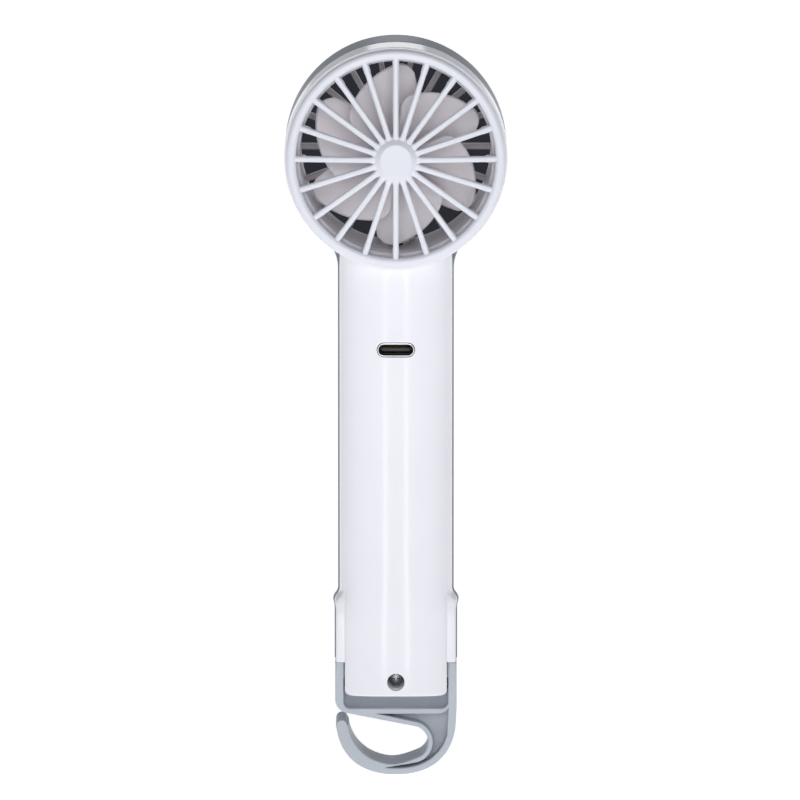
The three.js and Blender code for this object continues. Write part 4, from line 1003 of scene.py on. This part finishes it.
# %% Motor cap
cap_low, cap_high = place("motor_cap")
cap = rounded(
    [
        (0, cap_high[1]), (CUP_OUTER - 3.6, cap_high[1] - 0.05), (CUP_OUTER - 0.5, cap_high[1] - 0.75),
        (CUP_INNER - 0.1, cap_high[1] - 0.9), (CUP_INNER - 0.1, cap_low[1]), (0, cap_low[1]),
    ],
    [2.0, 0.2, 0.1, 0.2], 6,
)
cap_parts = [turned(cap, closed=False, turns=96)]
piece("motor_cap_skin", cap_parts, matt_slate, "fan_body", ["motor_cap"])


# %% Motor wires
def tube(path, radius, sides=16):
    """A round tube along a path that keeps its x: the ring's axes are X and the path's own normal."""
    tangent = unit(np.gradient(path, axis=0))
    sideways = np.cross(tangent, [1.0, 0, 0])
    angle = np.linspace(0, 2 * np.pi, sides, endpoint=False)
    cosine, sine = np.cos(angle)[None, :, None], np.sin(angle)[None, :, None]
    rings = path[:, None] + radius * (cosine * np.array([1.0, 0, 0]) + sine * sideways[:, None])
    ends = [np.repeat(path[[end], None], sides, 1) for end in (0, -1)]
    return grid(np.concatenate([ends[0], rings, ends[1]]), close_columns=True)


WIRE_RADIUS, WIRE_BEND, WIRE_X = 0.5, 1.4, 1.2
SOFTENING = 9  # points that are averaged to round the wire's bends
head_bottom = HEAD_Z - HEAD_RADIUS
for colour, x, material, slot_name in (
    ("red", -WIRE_X, red_pvc, "wire_red"), ("black", WIRE_X, dark_pvc, "wire_dark"),
):
    low, high = place("motor_wire_" + colour)
    low_y, high_y = low[1] + WIRE_RADIUS, high[1] - WIRE_RADIUS
    stations = np.array([
        [x, low_y, low[2]], [x, low[1] + WIRE_BEND, low[2] + WIRE_BEND],
        [x, high[1] - WIRE_BEND, head_bottom - 3], [x, high_y, head_bottom + 0.6], [x, high_y, high[2]],
    ])
    path = along(stations, np.linspace(0, 1, 60))
    padded = np.pad(path, ((SOFTENING // 2, SOFTENING // 2), (0, 0)), "edge")
    kernel = np.ones(SOFTENING) / SOFTENING
    path = np.column_stack([np.convolve(column, kernel, "valid") for column in padded.T])
    piece(
        f"motor_wire_{colour}_skin", [tube(path, WIRE_RADIUS)], material, "fan_body",
        [f"motor_wire_{colour}"], sharp=60,
    )

# %% [markdown]
# ## Charging port
# A drawn metal sleeve with a rolled lip, and inside it the thin contact tongue with its gold pads.

# %% Sleeve, tongue and contacts
def slot_outline(width, height, z, steps=14):
    """A slot with round ends, in X and Z."""
    half, radius = width / 2, height / 2 - 0.01
    return box_outline(-half, z - height / 2, half, z + height / 2, radius, steps)


def slot_plate(narrower, y0, y1, edge, hollow=None):
    """A plate with the port's outline, made narrower all round, with a hole in it where hollow is given."""
    cuts = [narrower] if hollow is None else [narrower, hollow]
    return plate([slot_outline(PORT_WIDTH - cut, PORT_HEIGHT - cut, PORT_Z) for cut in cuts], y0, y1, edge)


TONGUE_HALF, TONGUE_THICK, TONGUE_SET_BACK = 3.35, 0.35, 0.9
PAD_ROW, PAD_HALF, PAD_LENGTH, PAD_PROUD = 2.75, 0.12, 3.6, 0.03
block_y = HANDLE_REAR_Y + 5.6
sleeve_parts = slot_plate(0.0, port_low[1], port_high[1], 0.13, hollow=0.6)
piece("usb_c_sleeve", sleeve_parts, port_steel, "fan_body", ["usb_c_shell"], 40)
tongue = box_outline(-TONGUE_HALF, PORT_Z - TONGUE_THICK, TONGUE_HALF, PORT_Z + TONGUE_THICK, 0.15)
tongue_parts = slot_plate(0.8, block_y, port_high[1], 0.1)
tongue_parts += plate([tongue], HANDLE_REAR_Y + TONGUE_SET_BACK, block_y + 0.4, 0.12)
piece("usb_c_tongue_skin", tongue_parts, black_lcp, "fan_body", ["usb_c_tongue"], 40)
pads = []
for z in (PORT_Z - TONGUE_THICK - 0.01, PORT_Z + TONGUE_THICK + 0.01):
    for x in np.linspace(-PAD_ROW, PAD_ROW, 12):
        pad = box_outline(x - PAD_HALF, z - PAD_PROUD, x + PAD_HALF, z + PAD_PROUD, 0.01, 1)
        pads += plate([pad], block_y - PAD_LENGTH, block_y, 0.01, 1)
piece("usb_c_contacts", pads, gold, "fan_body", (), 30)

# %% [markdown]
# ## Screw
# A small pan-head screw closes the clamshell at the bottom of its recess. Its cross is pressed in, so
# its walls slope.

# %% Screw head and shank
HEAD_TOP_Y = screw_low[1]
SCREW_HEAD, SCREW_SHANK = 1.95, 1.0
skirt_y, seat_y = HEAD_TOP_Y + 1.0, HEAD_TOP_Y + 1.5
screw_corners = [
    (SCREW_HEAD, skirt_y), (SCREW_HEAD, seat_y), (SCREW_SHANK, seat_y), (SCREW_SHANK, screw_high[1] - 1),
    (0, screw_high[1]),
]
screw_profile = rounded(screw_corners, [0.1, 0.1, 0.1], 3)
r = np.linspace(0, SCREW_HEAD, 60)[:, None]
a = np.linspace(0, 2 * np.pi, 144, endpoint=False)[None]
x, z = r * np.cos(a), r * np.sin(a)
# The head falls by (r / head) ^ 3.2, and the cross is sunk where x or z is small and r is not large.
DOME_FALL, CROSS_DEPTH, CROSS_ARM = 0.95, 0.7, 1.25
dome_y = DOME_FALL * (r / SCREW_HEAD) ** 3.2
arm = np.minimum(np.abs(x), np.abs(z))
cross = smooth((0.36 - arm) / 0.16) * smooth((CROSS_ARM - r) / 0.3)
top = np.stack([x, HEAD_TOP_Y + dome_y + CROSS_DEPTH * cross, SCREW_Z + z], -1)
shank = turned(screw_profile, closed=False, turns=144, centre=(0.0, SCREW_Z))
skirt = np.stack([top[-1], top[-1]])
skirt[1, :, 1] = skirt_y
screw_parts = [grid(top, close_columns=True), grid(skirt, close_columns=True), shank]
piece("handle_screw_skin", screw_parts, zinc_steel, "fan_body", ["handle_screw"], 30)

# %% [markdown]
# ## Hook
# One tough moulding: two arms up to the pins, a cradle floor, and a sweeping hook with a sunken web
# between two raised edges. The frame is a plate with an opening; the web is a thinner plate inside it.

# %% Hook outlines
hook_low, hook_high = place("hook")
HOOK_HALF = hook_high[0]
ARM = 2.05
SWING = np.array([HOOK_HALF - 0.15, 14.4])
HOOK_POWER = 2.3
EYE, EYE_RADIUS = np.array([3.85, 8.0]), 4.0
THROAT, THROAT_RADIUS = np.array([-1.2, 13.2]), 10.4
TIP_RADIUS_HOOK, TIP_Z = 1.45, 12.0
DROP = 16.3
STRIP, RIM, FLOOR = 1.15, 1.6, 1.3


def sweep(start, stop, count, inset=0.0):
    """Part of the outer superellipse, moved in by inset."""
    a = np.linspace(start, stop, count)
    bent = lambda v: np.sign(v) * np.abs(v) ** (2 / HOOK_POWER)
    half = SWING - inset
    return np.column_stack([bent(np.cos(a)) * half[0], SWING[1] + bent(np.sin(a)) * half[1]])


def arc(centre, radius, start, stop, count):
    """Part of a circle in X and Z."""
    a = np.linspace(start, stop, count)
    return np.column_stack([centre[0] + radius * np.cos(a), centre[1] + radius * np.sin(a)])


inside, corner, fillet_r, under_left = HOOK_HALF - ARM, 3.4, 1.6, 15.1
top_z = hook_high[2]
tip = (-SWING[0] + TIP_RADIUS_HOOK, TIP_Z)


def arm_end(x0, x1):
    """The top of an arm, from its outer side over two round corners to its inner side."""
    return rounded([(x0, top_z - 2), (x0, top_z), (x1, top_z), (x1, top_z - 2)], [0.25, 0.25], 4)


eye_part = arc(EYE, EYE_RADIUS, np.pi / 2 - 0.2, -np.pi / 2 + 0.34, 40)
throat_part = arc(THROAT, THROAT_RADIUS, -np.pi / 2 - 0.34, -np.pi + 0.08, 40)
# Where they meet, a cubic curve leaves both arcs along their tangents.
p0, p3 = eye_part[-1], throat_part[0]
reach = 0.42 * np.linalg.norm(p3 - p0)
p1, p2 = p0 + unit(p0 - eye_part[-2]) * reach, p3 - unit(throat_part[1] - p3) * reach
u = np.linspace(0, 1, 26)[1:-1, None]
bridge = (1 - u) ** 3 * p0 + 3 * u * (1 - u) ** 2 * p1 + 3 * u**2 * (1 - u) * p2 + u**3 * p3
outer = np.vstack([
    arm_end(-HOOK_HALF, -inside)[::-1][-6:],
    arc((-HOOK_HALF + corner, under_left + corner), corner, np.pi, 1.43 * np.pi, 24),
    eye_part, bridge, throat_part,
    arc(tip, TIP_RADIUS_HOOK, 0, np.pi, 20),
    sweep(-np.pi + 0.2, 0, 90),
    [[HOOK_HALF, SWING[1] + 2]],
    arm_end(inside, HOOK_HALF)[::-1],
    arc((inside - fillet_r, DROP + fillet_r), fillet_r, 0, -np.pi / 2, 12),
    arc((-inside + fillet_r, DROP + fillet_r), fillet_r, -np.pi / 2, -np.pi, 12),
    arm_end(-HOOK_HALF, -inside)[::-1][:6],
])
under, wall_x = DROP - FLOOR, inside + 0.1
POCKET_POINT_X = -4.7  # where the sunken web ends in a point
pocket_eye = arc(EYE, EYE_RADIUS + STRIP, -np.pi / 2 + 0.17, np.pi / 2 - 0.2, 44)
bend_from, bend_by, bend_to = [wall_x - 2.8, under], [wall_x - 0.7, under + 0.1], [wall_x, under + 1.4]
u = np.linspace(0, 1, 12)[:, None]
bend = (1 - u) ** 2 * bend_from + 2 * u * (1 - u) * bend_by + u**2 * bend_to
pocket = np.vstack([[[POCKET_POINT_X, under]], bend, sweep(-0.32, -1.72, 50, RIM), pocket_eye])

# %% [markdown]
# The cradle's floor sweeps up behind the handle's end like a saddle, so no light shows under the
# handle. It stays low near the pins, where the handle's edge passes when the hook is folded back.

# %% Hook mesh
POCKET_DEPTH = 4.5
SADDLE_START, SADDLE_TOP_Y, SADDLE_RISE, SADDLE_FILLET = -5.3, -1.9, 2.6, 2.0


def bar(profile, stations, lift, low, high):
    """A closed outline in Y and Z carried along X. Its upper points rise by lift, its lower ones stay."""
    x, lift = stations[:, None], lift[:, None]
    weight = np.clip((profile[:, 1] - low) / (high - low), 0, 1)
    walls = np.stack([x + 0 * weight, 0 * x + profile[:, 0], profile[:, 1] + lift * weight], -1)
    triangles = np.array(tessellate_polygon([[Vector((y, z, 0)) for y, z in profile]]))
    return [grid(walls, close_columns=True)] + [(walls[end], triangles) for end in (0, -1)]


u = np.linspace(0, 1, 20)
rise = SADDLE_RISE * (1 - np.sqrt(1 - 0.995 * u**2))
curve = np.column_stack([SADDLE_START + (SADDLE_TOP_Y - SADDLE_START) * u, DROP - 0.03 + rise])
crest_z, front_y, root_z = DROP + SADDLE_RISE, hook_high[1] - 0.02, DROP - 1
crest_corners = [
    curve[-1] - [0.05, 0.3], [SADDLE_TOP_Y, crest_z], [front_y, crest_z],
    [front_y, root_z], [SADDLE_START, root_z],
]
saddle = np.vstack([curve[:-1], rounded(crest_corners, [0.12, 0.4, 0.05], 4)])
hook_parts = plate([outer, pocket], hook_low[1], hook_high[1], 0.32, 4)
web = inward(tidy_loop(pocket, False), -0.15)
hook_parts += plate([web], hook_low[1] + POCKET_DEPTH, hook_high[1] - POCKET_DEPTH, 0.05, 1)
saddle_x = np.linspace(-inside - 0.1, inside + 0.1, 121)
into_corner = np.clip(np.abs(saddle_x) - (inside - SADDLE_FILLET), 0, SADDLE_FILLET)
saddle_lift = SADDLE_FILLET - np.sqrt(SADDLE_FILLET**2 - into_corner**2)
hook_parts += bar(saddle, saddle_x, saddle_lift, DROP, crest_z)
piece("hook_skin", hook_parts, eroded_acetal, "hook_body", ["hook"], 40)

# %% Hook pins
for name in ("hook_pin_left", "hook_pin_right"):
    low, high = place(name)
    radius = (high[2] - low[2]) / 2
    profile = rounded([(low[0], 0), (low[0], radius), (high[0], radius), (high[0], 0)], [0.15, 0.15], 4)
    a = np.linspace(0, 2 * np.pi, 48, endpoint=False)
    x, r = profile.T[:, :, None]
    y_mid, z_mid = (low[1] + high[1]) / 2, (low[2] + high[2]) / 2
    pin = np.stack([x + 0 * a, y_mid + r * np.cos(a), z_mid + r * np.sin(a)], -1)
    pin_parts = [grid(pin, close_columns=True)]
    piece(name + "_skin", pin_parts, black_oxide, "fan_body", [name], 40)

# %% [markdown]
# ## Button and charge light
# A round button with a soft crown and a shallow thumb dish, and the flush end of the light pipe.

# %% Button and light pipe
top_y = button_high[1]
COLLAR_RADIUS, STEM_RADIUS = BUTTON_RADIUS + 0.8, 1.6
collar_y, under_y = top_y - 3.2, top_y - 4.1
button_profile = rounded(
    [
        (0, top_y - 0.25), (3.4, top_y - 0.1), (BUTTON_RADIUS - 0.9, top_y), (BUTTON_RADIUS, top_y - 0.35),
        (BUTTON_RADIUS, collar_y), (COLLAR_RADIUS, collar_y), (COLLAR_RADIUS, under_y),
        (STEM_RADIUS, under_y), (STEM_RADIUS, button_low[1]), (0, button_low[1]),
    ],
    [3.0, 0.6, 0.3, 0.1, 0.1, 0.1, 0.1, 0.1], 6,
)
button_parts = [turned(button_profile, closed=False, turns=96, centre=(0.0, BUTTON_Z))]
piece("power_button_skin", button_parts, button_abs, "button", ["power_button"], 40)
pipe_corners = [
    (0, lens_high[1]), (LENS_RADIUS, lens_high[1] - 0.1), (LENS_RADIUS, lens_low[1]), (0, lens_low[1]),
]
pipe_profile = rounded(pipe_corners, [0.25, 0.1], 5)
pipe_parts = [turned(pipe_profile, closed=False, turns=48, centre=(0.0, LENS_Z))]
piece("light_pipe_skin", pipe_parts, light_pipe, "fan_body", ["indicator_lens"], 40)
